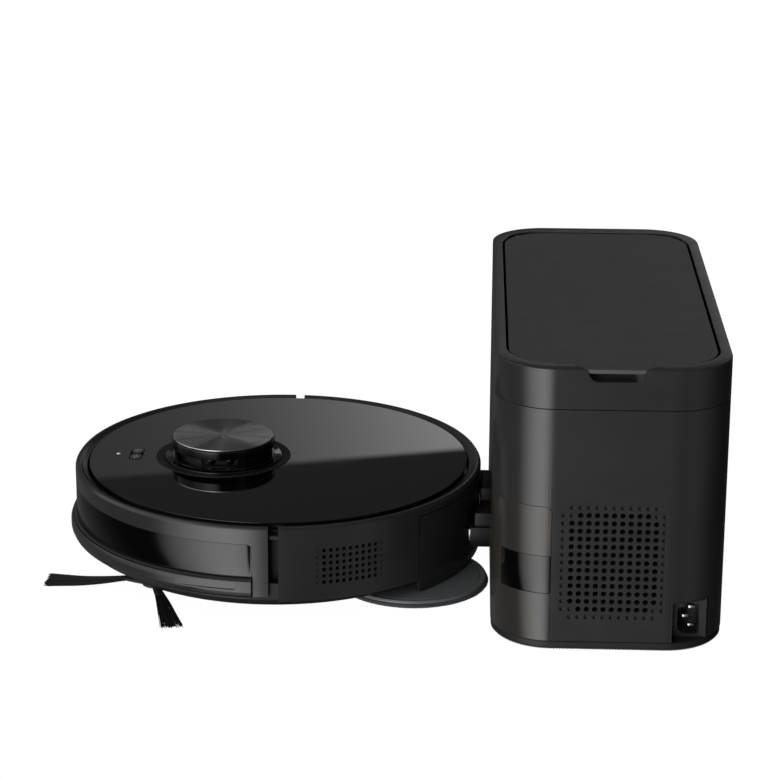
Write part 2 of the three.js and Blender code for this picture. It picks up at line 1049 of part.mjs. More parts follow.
// docking head with the dust port and the two horns that carry the charging contacts
node(
  "docking_head",
  cut(
    add(
      box(170, 182.65, -55, 55, 41, 53),
      box(170, 182.65, -22, 22, 41, 63.6),
      box(166, 182.65, -59.2, -45.8, 24.6, 41.5),
      box(166, 182.65, 45.8, 59.2, 24.6, 41.5),
      box(180, 196, -19, 19, 45, 63.2),
    ),
    cyl(176.3, 0, 0, 0, 200, 90),
    box(160, 200, -16, 16, 46.8, 60.4),
    box(160, 171.6, -57.6, -47.4, 28.2, 39.9), // room for a contact to press in
    box(160, 171.6, 47.4, 57.6, 28.2, 39.9),
    box(165, 181.4, -55.6, -49.4, 31, 38),
    box(165, 181.4, 49.4, 55.6, 31, 38),
  ),
  "inner",
);
for (const [side, s] of [
  ["near", -1],
  ["far", 1],
])
  node(
    "dock_contact_" + side,
    add(
      box(164.8, 167.9, s * 52.5 - 4.6, s * 52.5 + 4.6, 28.8, 39.3),
      box(167.5, 178, s * 52.5 - 2.6, s * 52.5 + 2.6, 31.6, 37.4),
    ),
    "steel",
  );

// mains inlet: a socket at the bottom of a square recess, with three blades on one back plate
node(
  "inlet_socket",
  cut(
    box(DXC + inlet.u0 + 0.3, DXC + inlet.u1 - 0.3, -217.5, -186, 7.9, inlet.z1 - 0.3).intersect(
      dockSlab(0.2, 0, 60),
    ),
    box(DXC + 50, DXC + 77.4, -230, inlet.floor, 0, 40.8),
    (() => {
      const shape = new THREE.Shape(
        [
          [55, 14.6],
          [60.6, 10.6],
          [70.6, 10.6],
          [72, 12],
          [72, 35.2],
          [70.6, 36.6],
          [60.4, 36.6],
          [55, 31.6],
        ].map(([u, z]) => new THREE.Vector2(DXC + u, z)),
      );
      const g = new THREE.ExtrudeGeometry(shape, { depth: 40, bevelEnabled: false });
      g.rotateX(Math.PI / 2);
      g.translate(0, -180, 0);
      return solid(g);
    })(),
  ),
  "gloss",
);
node(
  "inlet_pins",
  add(
    box(DXC + 53, DXC + 74, -185.6, -183, 9, 38.6),
    box(DXC + 63.8, DXC + 68.3, -200, -185, 30.8, 32.8),
    box(DXC + 63.8, DXC + 68.3, -200, -185, 15.4, 17.4),
    box(DXC + 59.2, DXC + 63.7, -200, -185, 23.1, 25.1),
  ),
  "steel",
);

// The origin goes to the middle of the footprint; the dock is symmetrical about Y = 0.
const footprint = new THREE.Box3().setFromObject(model);
model.position.x = -(footprint.min.x + footprint.max.x) / 2;

export default group;
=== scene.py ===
import bpy
import json
import math
import random
import bmesh
import numpy as np
from mathutils import Matrix, Vector


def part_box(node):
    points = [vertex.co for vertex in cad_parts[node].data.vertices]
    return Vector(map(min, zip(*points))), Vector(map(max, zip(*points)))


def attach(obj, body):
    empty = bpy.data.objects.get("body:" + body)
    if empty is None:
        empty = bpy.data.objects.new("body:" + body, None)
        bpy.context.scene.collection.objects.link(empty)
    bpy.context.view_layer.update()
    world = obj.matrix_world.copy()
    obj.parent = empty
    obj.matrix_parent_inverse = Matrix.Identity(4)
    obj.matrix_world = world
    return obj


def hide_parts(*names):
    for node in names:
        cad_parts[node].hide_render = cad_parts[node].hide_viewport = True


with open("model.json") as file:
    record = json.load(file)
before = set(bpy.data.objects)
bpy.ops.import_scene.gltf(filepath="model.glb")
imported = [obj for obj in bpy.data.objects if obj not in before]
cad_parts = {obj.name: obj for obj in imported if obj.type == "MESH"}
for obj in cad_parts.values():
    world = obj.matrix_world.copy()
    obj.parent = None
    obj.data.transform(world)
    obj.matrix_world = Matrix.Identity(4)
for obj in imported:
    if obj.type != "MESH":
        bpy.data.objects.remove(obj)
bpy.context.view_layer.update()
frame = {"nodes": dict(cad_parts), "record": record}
random.seed(7)
rng = np.random.default_rng(7)

# Drawing frame in mm (floor under the robot's centre) to the row frame in metres.
OX = 367.35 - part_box("dock_shell")[1].x * 1000.0
BODY = {}
for b, members in (frame["record"]["behaviour"]["bodies"]).items():
    for n in members:
        BODY[n] = b
SLOT = {s["node"]: s["material_slot"] for s in frame["record"]["subparts"]}


def P(x, y, z):
    return Vector(((x - OX) / 1000.0, y / 1000.0, z / 1000.0))


# ------------------------------------------------------------------ materials
class Tree:
    def __init__(self, tree):
        self.t = tree
        self.n = tree.nodes
        self.l = tree.links

    def put(self, kind, **kw):
        node = self.n.new(kind)
        for k, v in kw.items():
            setattr(node, k, v)
        return node

    def link(self, a, b):
        self.l.new(a, b)

    def math(self, op, *args, clamp=False):
        node = self.put("ShaderNodeMath", operation=op, use_clamp=clamp)
        for i, a in enumerate(args):
            if isinstance(a, (int, float)):
                node.inputs[i].default_value = a
            else:
                self.link(a, node.inputs[i])
        return node.outputs[0]

    def smooth(self, x, lo, hi, a=0.0, b=1.0):
        node = self.put("ShaderNodeMapRange", interpolation_type="SMOOTHSTEP", clamp=True)
        self.link(x, node.inputs["Value"])
        node.inputs["From Min"].default_value = lo
        node.inputs["From Max"].default_value = hi
        node.inputs["To Min"].default_value = a
        node.inputs["To Max"].default_value = b
        return node.outputs[0]

    def linear(self, x, lo, hi, a=0.0, b=1.0):
        node = self.put("ShaderNodeMapRange", interpolation_type="LINEAR", clamp=True)
        self.link(x, node.inputs["Value"])
        node.inputs["From Min"].default_value = lo
        node.inputs["From Max"].default_value = hi
        node.inputs["To Min"].default_value = a
        node.inputs["To Max"].default_value = b
        return node.outputs[0]

    def curve(self, x, points, lo, hi):
        """x mapped through a table of (x, y) points, by a float curve."""
        top = max(y for _, y in points)
        u = self.linear(x, lo, hi)
        node = self.put("ShaderNodeFloatCurve")
        c = node.mapping.curves[0]
        pts = [((px - lo) / (hi - lo), py / top) for px, py in points]
        while len(c.points) > 2:
            c.points.remove(c.points[1])
        c.points[0].location = pts[0]
        c.points[1].location = pts[-1]
        for p in pts[1:-1]:
            c.points.new(*p)
        for p in c.points:
            p.handle_type = "VECTOR"
        node.mapping.update()
        self.link(u, node.inputs["Value"])
        return self.math("MULTIPLY", node.outputs[0], top)

    def noise(self, vec, scale, detail=2.0, rough=0.5):
        node = self.put("ShaderNodeTexNoise")
        node.inputs["Scale"].default_value = scale
        node.inputs["Detail"].default_value = detail
        node.inputs["Roughness"].default_value = rough
        if vec is not None:
            self.link(vec, node.inputs["Vector"])
        return node.outputs["Fac"]

    def ramp(self, fac, stops):
        node = self.put("ShaderNodeValToRGB")
        cr = node.color_ramp
        while len(cr.elements) > 1:
            cr.elements.remove(cr.elements[-1])
        cr.elements[0].position, cr.elements[0].color = stops[0][0], (*stops[0][1], 1)
        for pos, col in stops[1:]:
            e = cr.elements.new(pos)
            e.color = (*col, 1)
        self.link(fac, node.inputs["Fac"])
        return node.outputs["Color"]


def new_material(name):
    m = bpy.data.materials.new(name)
    m.use_nodes = True
    t = Tree(m.node_tree)
    t.n.clear()
    out = t.put("ShaderNodeOutputMaterial")
    b = t.put("ShaderNodeBsdfPrincipled")
    t.link(b.outputs[0], out.inputs["Surface"])
    return m, t, b


def moulded(name, base, rough, var=0.08, grain=2600, bump=0.06, rvar=0.05, metal=0.0,
            spec=0.5, coat=0.0, blotch=14, scratch=0.0):
    """Moulded or painted surface: slow colour drift, fine grain, uneven gloss, a few hairlines."""
    m, t, b = new_material(name)
    co = t.put("ShaderNodeTexCoord").outputs["Object"]
    slow = t.noise(co, blotch, 3.0, 0.55)
    fine = t.noise(co, grain, 2.0, 0.6)
    lo = tuple(c * (1 - var) for c in base)
    hi = tuple(c * (1 + var) for c in base)
    mixed = t.math("ADD", t.math("MULTIPLY", slow, 0.7), t.math("MULTIPLY", fine, 0.3))
    t.link(t.ramp(mixed, [(0.3, lo), (0.7, hi)]), b.inputs["Base Color"])
    r = t.linear(t.noise(co, blotch * 3.1, 4.0, 0.6), 0.3, 0.7, max(0.0, rough - rvar), rough + rvar)
    if scratch:
        st = t.put("ShaderNodeMapping")
        st.inputs["Scale"].default_value = (900, 40, 400)
        st.inputs["Rotation"].default_value = (0.1, 0.2, 0.6)
        t.link(co, st.inputs["Vector"])
        hair = t.smooth(t.noise(st.outputs[0], 1.0, 3.0, 0.7), 0.68, 0.8, 0.0, scratch)
        r = t.math("ADD", r, hair)
    t.link(r, b.inputs["Roughness"])
    b.inputs["Metallic"].default_value = metal
    b.inputs["Specular IOR Level"].default_value = spec
    b.inputs["Coat Weight"].default_value = coat
    if bump:
        bn = t.put("ShaderNodeBump")
        bn.inputs["Strength"].default_value = bump
        bn.inputs["Distance"].default_value = 0.00008
        t.link(fine, bn.inputs["Height"])
        t.link(bn.outputs[0], b.inputs["Normal"])
    return m


def turned_metal(name, base, rough, aniso, centre):
    """Disc with concentric turning marks that vary a little round the disc, and painted highlight fans: bright lobes at
    fixed angles painted into the base colour.
    """
    m, t, b = new_material(name)
    co = t.put("ShaderNodeTexCoord").outputs["Object"]
    off = t.put("ShaderNodeVectorMath", operation="SUBTRACT")
    t.link(co, off.inputs[0])
    off.inputs[1].default_value = tuple(centre)
    sep = t.put("ShaderNodeSeparateXYZ")
    t.link(off.outputs[0], sep.inputs[0])
    x, y = sep.outputs[0], sep.outputs[1]
    r = t.math("SQRT", t.math("ADD", t.math("MULTIPLY", x, x), t.math("MULTIPLY", y, y)))
    a = t.math("ARCTAN2", y, x)
    cv = t.put("ShaderNodeCombineXYZ")
    t.link(t.math("MULTIPLY", r, 2400.0), cv.inputs[0])
    t.link(t.math("MULTIPLY", t.math("SINE", a), 0.8), cv.inputs[1])
    t.link(t.math("MULTIPLY", t.math("COSINE", a), 0.8), cv.inputs[2])
    rings = t.noise(cv.outputs[0], 1.0, 3.0, 0.7)
    painted_fan_highlights = None
    # painted highlight: lobes at fixed angles round the disc brighten the base colour where the turned metal shows
    # bright fans of reflected light
    for deg, amp in ((43, 1.5), (8, 0.9), (153, 1.15), (90, 0.35)):
        lobe = t.math("COSINE", t.math("MULTIPLY", t.math("SUBTRACT", a, math.radians(deg)), 2.0))
        lobe = t.math("MULTIPLY", t.math("POWER", t.math("MAXIMUM", lobe, 0.0), 9.0), amp)
        painted_fan_highlights = lobe if painted_fan_highlights is None else t.math("ADD", painted_fan_highlights, lobe)
    # base colour: turning-mark tone times the painted fan highlights
    tint = t.put("ShaderNodeVectorMath", operation="SCALE")
    t.link(t.ramp(rings, [(0.3, tuple(c * 0.8 for c in base)), (0.7, tuple(min(1, c * 1.18) for c in base))]), tint.inputs[0])
    t.link(t.math("MINIMUM", t.math("ADD", painted_fan_highlights, 0.66), 1.3), tint.inputs["Scale"])
    t.link(tint.outputs[0], b.inputs["Base Color"])
    t.link(t.linear(rings, 0.3, 0.7, rough - 0.04, rough + 0.05), b.inputs["Roughness"])
    b.inputs["Metallic"].default_value = 1.0
    b.inputs["Anisotropic"].default_value = aniso
    tg = t.put("ShaderNodeTangent", direction_type="RADIAL", axis="Z")
    t.link(tg.outputs[0], b.inputs["Tangent"])
    bn = t.put("ShaderNodeBump")
    bn.inputs["Strength"].default_value = 0.05
    bn.inputs["Distance"].default_value = 0.00005
    t.link(rings, bn.inputs["Height"])
    t.link(bn.outputs[0], b.inputs["Normal"])
    return m


def fibrous(name, lo, hi, rough, scale, sheen=0.0, stretch=(1, 1, 1), bump=0.5, dist=0.0004):
    m, t, b = new_material(name)
    co = t.put("ShaderNodeTexCoord").outputs["Object"]
    mp = t.put("ShaderNodeMapping")
    mp.inputs["Scale"].default_value = stretch
    t.link(co, mp.inputs["Vector"])
    f = t.noise(mp.outputs[0], scale, 5.0, 0.65)
    s = t.noise(co, 25, 2.0, 0.5)
    t.link(t.ramp(t.math("ADD", t.math("MULTIPLY", f, 0.75), t.math("MULTIPLY", s, 0.25)), [(0.32, lo), (0.68, hi)]),
           b.inputs["Base Color"])
    t.link(t.linear(f, 0.3, 0.7, rough - 0.08, min(1, rough + 0.06)), b.inputs["Roughness"])
    b.inputs["Sheen Weight"].default_value = sheen
    b.inputs["Specular IOR Level"].default_value = 0.3
    bn = t.put("ShaderNodeBump")
    bn.inputs["Strength"].default_value = bump
    bn.inputs["Distance"].default_value = dist
    t.link(f, bn.inputs["Height"])
    t.link(bn.outputs[0], b.inputs["Normal"])
    return m


def tinted(name, base, rough, trans):
    m = moulded(name, base, rough, var=0.06, grain=1500, bump=0.02, rvar=0.03)
    b = next(n for n in m.node_tree.nodes if n.type == "BSDF_PRINCIPLED")
    b.inputs["Transmission Weight"].default_value = trans
    return m


def glow(name, col, power):
    m = moulded(name, col, 0.3, var=0.04, grain=800, bump=0.01)
    b = next(n for n in m.node_tree.nodes if n.type == "BSDF_PRINCIPLED")
    b.inputs["Emission Color"].default_value = (*col, 1)
    b.inputs["Emission Strength"].default_value = power
    return m


g = lambda v, w=0.0: (v * (1 + w), v, v * (1 - w))
MAT = {
    "base_plastic": moulded("base_plastic", g(0.012), 0.46, bump=0.10, rvar=0.06, scratch=0.1, spec=0.25),
    "shell_plastic": moulded("shell_plastic", g(0.021, -0.01), 0.20, bump=0.03, rvar=0.02),
    "gloss_plastic": moulded("gloss_plastic", g(0.0015), 0.03, bump=0.0, rvar=0.012, scratch=0.04),
    "ir_plastic": moulded("ir_plastic", (0.0014, 0.0014, 0.0014), 0.02, bump=0.0, rvar=0.008, scratch=0.04),
    "lip_plastic": moulded("lip_plastic", g(0.024), 0.24, bump=0.04, rvar=0.03),
    "top_glass": moulded("top_glass", g(0.0016), 0.012, bump=0.0, rvar=0.006, blotch=6, scratch=0.02),
    "brushed_cap": turned_metal("brushed_cap", (0.62, 0.62, 0.625), 0.22, 0.92, P(-47.5, 0, 100)),
    "led_window": glow("led_window", (0.75, 0.82, 0.9), 0.2),
    "circuit_board": moulded("circuit_board", (0.012, 0.07, 0.03), 0.4, var=0.3, grain=900, blotch=160),
    "battery_wrap": moulded("battery_wrap", (0.03, 0.06, 0.14), 0.35, var=0.12, grain=500),
    "hub_plastic": moulded("hub_plastic", g(0.05), 0.4, bump=0.1),
    "plate_plastic": moulded("plate_plastic", (0.125, 0.130, 0.134), 0.42, bump=0.08),
    "tyre_rubber": moulded("tyre_rubber", g(0.012), 0.78, var=0.25, grain=1400, bump=0.35, rvar=0.08, spec=0.35),
    "rubber": moulded("rubber", g(0.012), 0.66, var=0.2, grain=1600, bump=0.25, rvar=0.08, spec=0.4),
    "bristle": fibrous("bristle", g(0.003), g(0.012), 0.55, 1800, bump=0.3, dist=0.0001),
    "clear_plastic": tinted("clear_plastic", (0.08, 0.085, 0.09), 0.14, 0.55),
    "filter_paper": fibrous("filter_paper", (0.55, 0.52, 0.46), (0.72, 0.69, 0.62), 0.9, 1500, bump=0.4, dist=0.0002),
    "mop_fabric": fibrous("mop_fabric", (0.016, 0.018, 0.02), (0.07, 0.075, 0.08), 0.95, 1100, sheen=0.25, bump=0.9, dist=0.0008),
    "contact_metal": moulded("contact_metal", (0.62, 0.60, 0.56), 0.26, var=0.1, metal=1.0, grain=1200, bump=0.05, scratch=0.2),
    "dock_plastic": moulded("dock_plastic", g(0.021, 0.01), 0.22, bump=0.03, rvar=0.02),
    "panel_plastic": moulded("panel_plastic", (0.0235, 0.0215, 0.0195), 0.19, bump=0.03, rvar=0.02),
    "lid_plastic": moulded("lid_plastic", g(0.060), 0.50, bump=0.04, rvar=0.03),
    "socket_plastic": moulded("socket_plastic", g(0.016), 0.32, bump=0.05, rvar=0.05),
    "bag_paper": fibrous("bag_paper", (0.50, 0.47, 0.40), (0.66, 0.63, 0.55), 0.92, 700, stretch=(1, 1, 1.6), bump=0.5, dist=0.0005),
    "foam_dark": moulded("foam_dark", g(0.003), 0.92, var=0.3, grain=1500, bump=0.4, spec=0.1),
    # painted shade: the docking head is made near-black to stand for the shadow it sits in
    "head_painted_shade_plastic": moulded("head_painted_shade_plastic", g(0.005), 0.45, bump=0.08, rvar=0.05, spec=0.3),
    "printed_mark": moulded("printed_mark", g(0.34), 0.5, var=0.05, bump=0.02),
    "screw_steel": moulded("screw_steel", (0.42, 0.42, 0.43), 0.32, var=0.12, metal=1.0, bump=0.05, scratch=0.2),
}


# ------------------------------------------------------------------ mesh tools
def obj_from(name, verts, faces, mm=True, merge=True):
    me = bpy.data.meshes.new(name)
    me.from_pydata([P(*v) for v in verts] if mm else verts, [], faces)
    bm = bmesh.new()
    bm.from_mesh(me)
    if merge:
        bmesh.ops.remove_doubles(bm, verts=bm.verts, dist=2e-7)
        bmesh.ops.dissolve_degenerate(bm, edges=bm.edges, dist=1e-7)
    bmesh.ops.recalc_face_normals(bm, faces=bm.faces)
    bm.to_mesh(me)
    bm.free()
    o = bpy.data.objects.new(name, me)
    bpy.context.scene.collection.objects.link(o)
    return o


def fil(poly, r, seg=3):
    """Rounds the corners of a closed outline; r is one radius or one per corner."""
    out, n = [], len(poly)
    rs = r if isinstance(r, (list, tuple)) else [r] * n
    for i in range(n):
        p0, p, p1 = (np.array(poly[j % n], float) for j in (i - 1, i, i + 1))
        ri = rs[i]
        u, v = p0 - p, p1 - p
        lu, lv = np.linalg.norm(u), np.linalg.norm(v)
        u, v = u / lu, v / lv
        ang = math.acos(max(-1, min(1, float(u @ v))))
        if ri <= 0 or ang > math.pi - 0.05:
            out.append(tuple(p))
            continue
        d = min(ri / math.tan(ang / 2), lu * 0.48, lv * 0.48)
        rr = d * math.tan(ang / 2)
        w = (u + v) / np.linalg.norm(u + v)
        c = p + w * rr / math.sin(ang / 2)
        a, b = p + u * d, p + v * d
        ta, tb = math.atan2(*(a - c)[::-1]), math.atan2(*(b - c)[::-1])
        dt = (tb - ta + math.pi) % (2 * math.pi) - math.pi
        for k in range(seg + 1):
            t = ta + dt * k / seg
            out.append((c[0] + rr * math.cos(t), c[1] + rr * math.sin(t)))
    return out


def revolve(name, profile, a0=0.0, a1=360.0, cx=0.0, cy=0.0, step=1.5, n=None):
    """profile: closed list of (r, z), or a function of the angle that gives one."""
    full = abs(a1 - a0 - 360) < 1e-6
    n = n or max(2, int(math.ceil((a1 - a0) / step)))
    angs = np.linspace(a0, a1, n + 1)
    if full:
        angs = angs[:-1]
    fn = profile if callable(profile) else (lambda a: profile)
    verts = []
    for a in angs:
        c, s = math.cos(math.radians(a)), math.sin(math.radians(a))
        pr = fn(a)
        verts += [(cx + r * c, cy + r * s, z) for r, z in pr]
    m, k = len(pr), len(angs)
    faces = []
    for i in range(k if full else k - 1):
        j = (i + 1) % k
        for q in range(m):
            p = (q + 1) % m
            faces.append((i * m + q, j * m + q, j * m + p, i * m + p))
    if not full:
        faces.append(tuple(range(m)))
        faces.append(tuple(range((k - 1) * m, k * m))[::-1])
    return obj_from(name, verts, faces)


def prism(name, pts, z0, z1, axis="Z"):
    """Outline extruded along Z, or along Y with the outline in (x, z), or along X with it in (y, z)."""
    f = {"Z": lambda a, b, c: (a, b, c), "Y": lambda a, b, c: (a, c, b), "X": lambda a, b, c: (c, a, b)}[axis]
    n = len(pts)
    verts = [f(a, b, z0) for a, b in pts] + [f(a, b, z1) for a, b in pts]
    faces = [tuple(range(n)), tuple(range(n, 2 * n))[::-1]]
    faces += [(i, (i + 1) % n, n + (i + 1) % n, n + i) for i in range(n)]
    return obj_from(name, verts, faces)


def box(name, x0, x1, y0, y1, z0, z1):
    return prism(name, [(x0, y0), (x1, y0), (x1, y1), (x0, y1)], z0, z1)


def ring_pts(cx, cy, r, n=32, a0=0):
    return [(cx + r * math.cos(a0 + 2 * math.pi * i / n), cy + r * math.sin(a0 + 2 * math.pi * i / n)) for i in range(n)]


def rr(x0, x1, y0, y1, r, n=10):
    pts = []
    for cx, cy, a0 in ((x1 - r, y0 + r, -90), (x1 - r, y1 - r, 0), (x0 + r, y1 - r, 90), (x0 + r, y0 + r, 180)):
        for i in range(n + 1):
            a = math.radians(a0 + 90 * i / n)
            pts.append((cx + r * math.cos(a), cy + r * math.sin(a)))
    return pts


def cylz(name, r, x, y, z0, z1, n=48):
    return prism(name, ring_pts(x, y, r, n), z0, z1)


def rr_sweep(name, x0, x1, y0, y1, R, profile, n=24):
    """profile: closed list of (inset, z), swept round a rectangle with corner radius R."""
    path = []
    for cx, cy, a0 in ((x1 - R, y0 + R, -90), (x1 - R, y1 - R, 0), (x0 + R, y1 - R, 90), (x0 + R, y0 + R, 180)):
        for i in range(n + 1):
            path.append((cx, cy, math.radians(a0 + 90 * i / n)))
    m, k = len(profile), len(path)
    verts = [(cx + (R - i) * math.cos(a), cy + (R - i) * math.sin(a), z) for cx, cy, a in path for i, z in profile]
    faces = [(i * m + q, ((i + 1) % k) * m + q, ((i + 1) % k) * m + (q + 1) % m, i * m + (q + 1) % m)
             for i in range(k) for q in range(m)]
    return obj_from(name, verts, faces)


def boolean(o, cutter, op="DIFFERENCE", keep=False):
    for solver in ("MANIFOLD", "EXACT"):
        m = o.modifiers.new("cut", "BOOLEAN")
        m.operation = op
        try:
            m.solver = solver
        except TypeError:
            m.solver = "EXACT"
        m.object = cutter
        dg = bpy.context.evaluated_depsgraph_get()
        me = bpy.data.meshes.new_from_object(o.evaluated_get(dg))
        o.modifiers.clear()
        if len(me.polygons) and (op == "UNION" or solver == "EXACT" or len(me.polygons) != len(o.data.polygons)):
            o.data = me
            break
    if not keep:
        bpy.data.objects.remove(cutter)
    return o


def cut(o, *cs):
    for c in cs:
        boolean(o, c)
    return o


def both(o, *cs):
    for c in cs:
        boolean(o, c, "INTERSECT")
    return o


def union(o, *cs):
    for c in cs:
        boolean(o, c, "UNION")
    return o


def merged(name, objs):
    """Several separate closed bodies in one mesh."""
    bm = bmesh.new()
    for o in objs:
        bm.from_mesh(o.data)
        bpy.data.objects.remove(o)
    me = bpy.data.meshes.new(name)
    bm.to_mesh(me)
    bm.free()
    o = bpy.data.objects.new(name, me)
    bpy.context.scene.collection.objects.link(o)
    return o


def bevel(o, width, segments=2, angle=32):
    m = o.modifiers.new("edge", "BEVEL")
    m.width = width / 1000.0
    m.segments = segments
    m.limit_method = "ANGLE"
    m.angle_limit = math.radians(angle)
    m.use_clamp_overlap = True
    m.harden_normals = False
    dg = bpy.context.evaluated_depsgraph_get()
    me = bpy.data.meshes.new_from_object(o.evaluated_get(dg))
    o.modifiers.clear()
    o.data = me
    return o


def done(o, slot, body, *nodes, angle=30, mat=None):
    me = o.data
    me.materials.clear()
    me.materials.append(MAT[mat or slot])
    me.shade_smooth()
    me.set_sharp_from_angle(angle=math.radians(angle))
    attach(o, body)
    if nodes:
        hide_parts(*nodes)
    return o


REPLACED = set()


def part(o, *nodes, angle=30, mat=None):
    REPLACED.update(nodes)
    return done(o, SLOT[nodes[0]], BODY[nodes[0]], *nodes, angle=angle, mat=mat)


def extra(o, slot, body, angle=30, mat=None):
    return done(o, slot, body, angle=angle, mat=mat)


# ------------------------------------------------------------------ robot: outer shells
RIM = [(174.5, 79.3), (172.7, 82), (170, 81.7), (167.9, 79.9), (164.2, 79.1), (164.2, 76.6)]
RIM_R = [1.6, 0.9, 1.2, 0.8, 0.3, 0.3]


def wall_profile(z0, inner=171.4, top=76.2):
    return fil([(inner, z0), (174.5, z0), *RIM, (inner, top)], [0.3, 0.7, *RIM_R, 0.3], 3)


shells = [revolve("s0", wall_profile(18), 44.6, 86.0, step=1.0),
          revolve("s1", wall_profile(18), -86.0, -44.6, step=1.0),
          revolve("s2", fil([(168, 74.2), (174.5, 74.2), *RIM], [0.4, 0.8, *RIM_R], 3), -44.62, 44.62, step=1.0)]
side = shells[0]
union(side, shells[2], shells[1])
side.name = "robot_side_shell"


def radial_hole(a, z, r, r0, r1, n=14, z_scale=1.0):
    """Closed pin along the radius at angle a, from radius r0 to r1."""
    c, s = math.cos(math.radians(a)), math.sin(math.radians(a))
    verts = []
    for rad in (r0, r1):
        for i in range(n):
            t = 2 * math.pi * i / n
            u, w = r * math.cos(t), r * math.sin(t) * z_scale
            verts.append((rad * c - u * s, rad * s + u * c, z + w))
    faces = [tuple(range(n)), tuple(range(n, 2 * n))[::-1]]
    faces += [(i, (i + 1) % n, n + (i + 1) % n, n + i) for i in range(n)]
    return obj_from("h", verts, faces)


ROWS = [33.5 + 5.46 * i for i in range(6)]
for sgn in (-1, 1):
    pins = []
    for c in range(11):
        a = sgn * (57.25 + 1.83 * c)
        edge = c in (0, 10)
        for z in ROWS:
            pins.append(radial_hole(a, z, 1.3 if edge else 1.75, 173.7 if edge else 165, 180))
    cut(side, merged("pins", pins))
part(side, "side_shell")

# ------------------------------------------------------------------ robot: bumper
W0 = 93.1
BZ0, BZ1 = 38.8, 67.0


def strip(name, r0, r1, z0, z1, a_end, rc, grow=0.0, bottom_round=False):
    """Curved strip round the front whose upper corners are rounded."""
    def prof(a):
        s = max(0.0, math.radians(min(a - (a_end - grow / 3.05), (360 - a_end + grow / 3.05) - a)) * 174.5)
        drop = rc - math.sqrt(max(0.0, rc * rc - (rc - s) ** 2)) if s < rc else 0.0
        top = z1 + grow - drop
        bot = z0 - grow + (drop if bottom_round else 0)
        return fil([(r0, bot), (r1, bot), (r1, top), (r0, top)], [0.1, 0.25, 0.25, 0.1] if grow == 0 else 0, 2) \
            if grow == 0 else [(r0, bot), (r1, bot), (r1, top), (r0, top)]
    e = a_end - grow / 3.05
    near = [e + d for d in (0, 0.03, 0.08, 0.18, 0.35, 0.6, 0.9, 1.3)]
    angs = near + list(np.linspace(e + 2.4, 360 - e - 2.4, 140)) + [360 - a for a in near[::-1]]
    verts, m = [], None
    for a in angs:
        pr = prof(a)
        m = len(pr)
        c, s = math.cos(math.radians(a)), math.sin(math.radians(a))
        verts += [(r * c, r * s, z) for r, z in pr]
    k = len(angs)
    faces = [(i * m + q, (i + 1) * m + q, (i + 1) * m + (q + 1) % m, i * m + (q + 1) % m)
             for i in range(k - 1) for q in range(m)]
    faces += [tuple(range(m)), tuple(range((k - 1) * m, k * m))[::-1]]
    return obj_from(name, verts, faces)


bump = revolve("bumper_outer", fil([(168.2, 40.2), (174.5, 40.2), *RIM, (168.2, 76.4)],
                                   [0.3, 0.3, *RIM_R, 0.3], 3), W0 - 0.6, 360 - W0 + 0.6, step=1.0)
ends = [revolve("e", wall_profile(21.6), a, b, step=1.0) for a, b in ((88.7, W0 - 0.25), (360 - W0 + 0.25, 271.3))]
union(bump, *ends)
boolean(bump, strip("pocket", 171.8, 190, BZ0 - 6, BZ1, W0, 4.0, grow=0.22))
part(bump, "bumper_shell")
part(strip("bumper_gloss_strip", 172.1, 174.45, BZ0, BZ1, W0, 4.0), "bumper_window")

lip_profile = fil([(168.6, 24.4), (173.5, 22), (177.6, 23.6), (179.5, 28), (179.5, 33), (178.2, 36.6), (175.4, 38.4), (168.6, 38.4)],
                  [0.4, 1.5, 2.5, 3.0, 3.0, 2.5, 0.8, 0.2], 4)
lip = revolve("bumper_lower_lip", lip_profile, W0, 360 - W0, step=1.0)


def slot_cutter(a_from, a_to, r0, r1, z0, z1):
    """Cutter along the lip with one rounded end."""
    rc = (z1 - z0) / 2
    out = []
    da = math.degrees(rc / 178.5)
    for k in range(9):
        t = math.pi / 2 * k / 8
        a = a_from + da * (1 - math.sin(t)) * (1 if a_to > a_from else -1)
        h = rc * math.sqrt(max(0.0, 1 - (1 - math.sin(t)) ** 2)) if k else 0.02
        out.append((a, h))
    out = sorted({round(a, 4): h for a, h in
                  [(a_from + (1 if a_to > a_from else -1) * da * (1 - math.cos(math.pi / 2 * k / 8)),
                    max(0.05, rc * math.sin(math.pi / 2 * k / 8))) for k in range(9)]}.items())
    if a_to < a_from:
        out = out[::-1]
    for t in np.linspace(0, 1, 12)[1:]:
        out.append((out[8][0] + (a_to - out[8][0]) * t, rc * (1 - 0.0 * t)))
    zc = (z0 + z1) / 2
    verts = []
    for a, h in out:
        c, s = math.cos(math.radians(a)), math.sin(math.radians(a))
        fade = min(1.0, max(0.0, abs(a - a_from) - da) / abs(a_to - a_from))
        rin = r0 + (179.7 - r0) * fade ** 2.5
        verts += [(r * c, r * s, z) for r, z in ((rin, zc - h), (r1, zc - h), (r1, zc + h), (rin, zc + h))]
    k, m = len(out), 4
    faces = [(i * m + q, (i + 1) * m + q, (i + 1) * m + (q + 1) % m, i * m + (q + 1) % m)
             for i in range(k - 1) for q in range(m)]
    faces += [(0, 1, 2, 3), tuple(range((k - 1) * m, k * m))[::-1]]
    return obj_from("slot", verts, faces)


cut(lip, slot_cutter(97, 114, 178.2, 190, 29.3, 35.4), slot_cutter(263, 246, 178.2, 190, 29.3, 35.4),
    revolve("groove", [(176.0, 36.6), (190, 36.6), (190, 37.3), (176.0, 37.3)], 105, 255, step=1.5))
part(lip, "bumper_lip")

# ------------------------------------------------------------------ robot: top
TX = -47.5
glass = revolve("robot_top_glass", fil([(0, 80.2), (162.5, 80.2), (162.5, 82), (0, 82)], [0, 0.2, 0.5, 0], 3), step=1.5)
cut(glass, cylz("c", 58, TX, 0, 70, 90, 96), prism("p", rr(-128.6, -117, -16, 16, 5.7), 70, 84),
    cylz("l", 2.2, -138.8, 0, 70, 84, 24))
part(glass, "top_glass", angle=9)

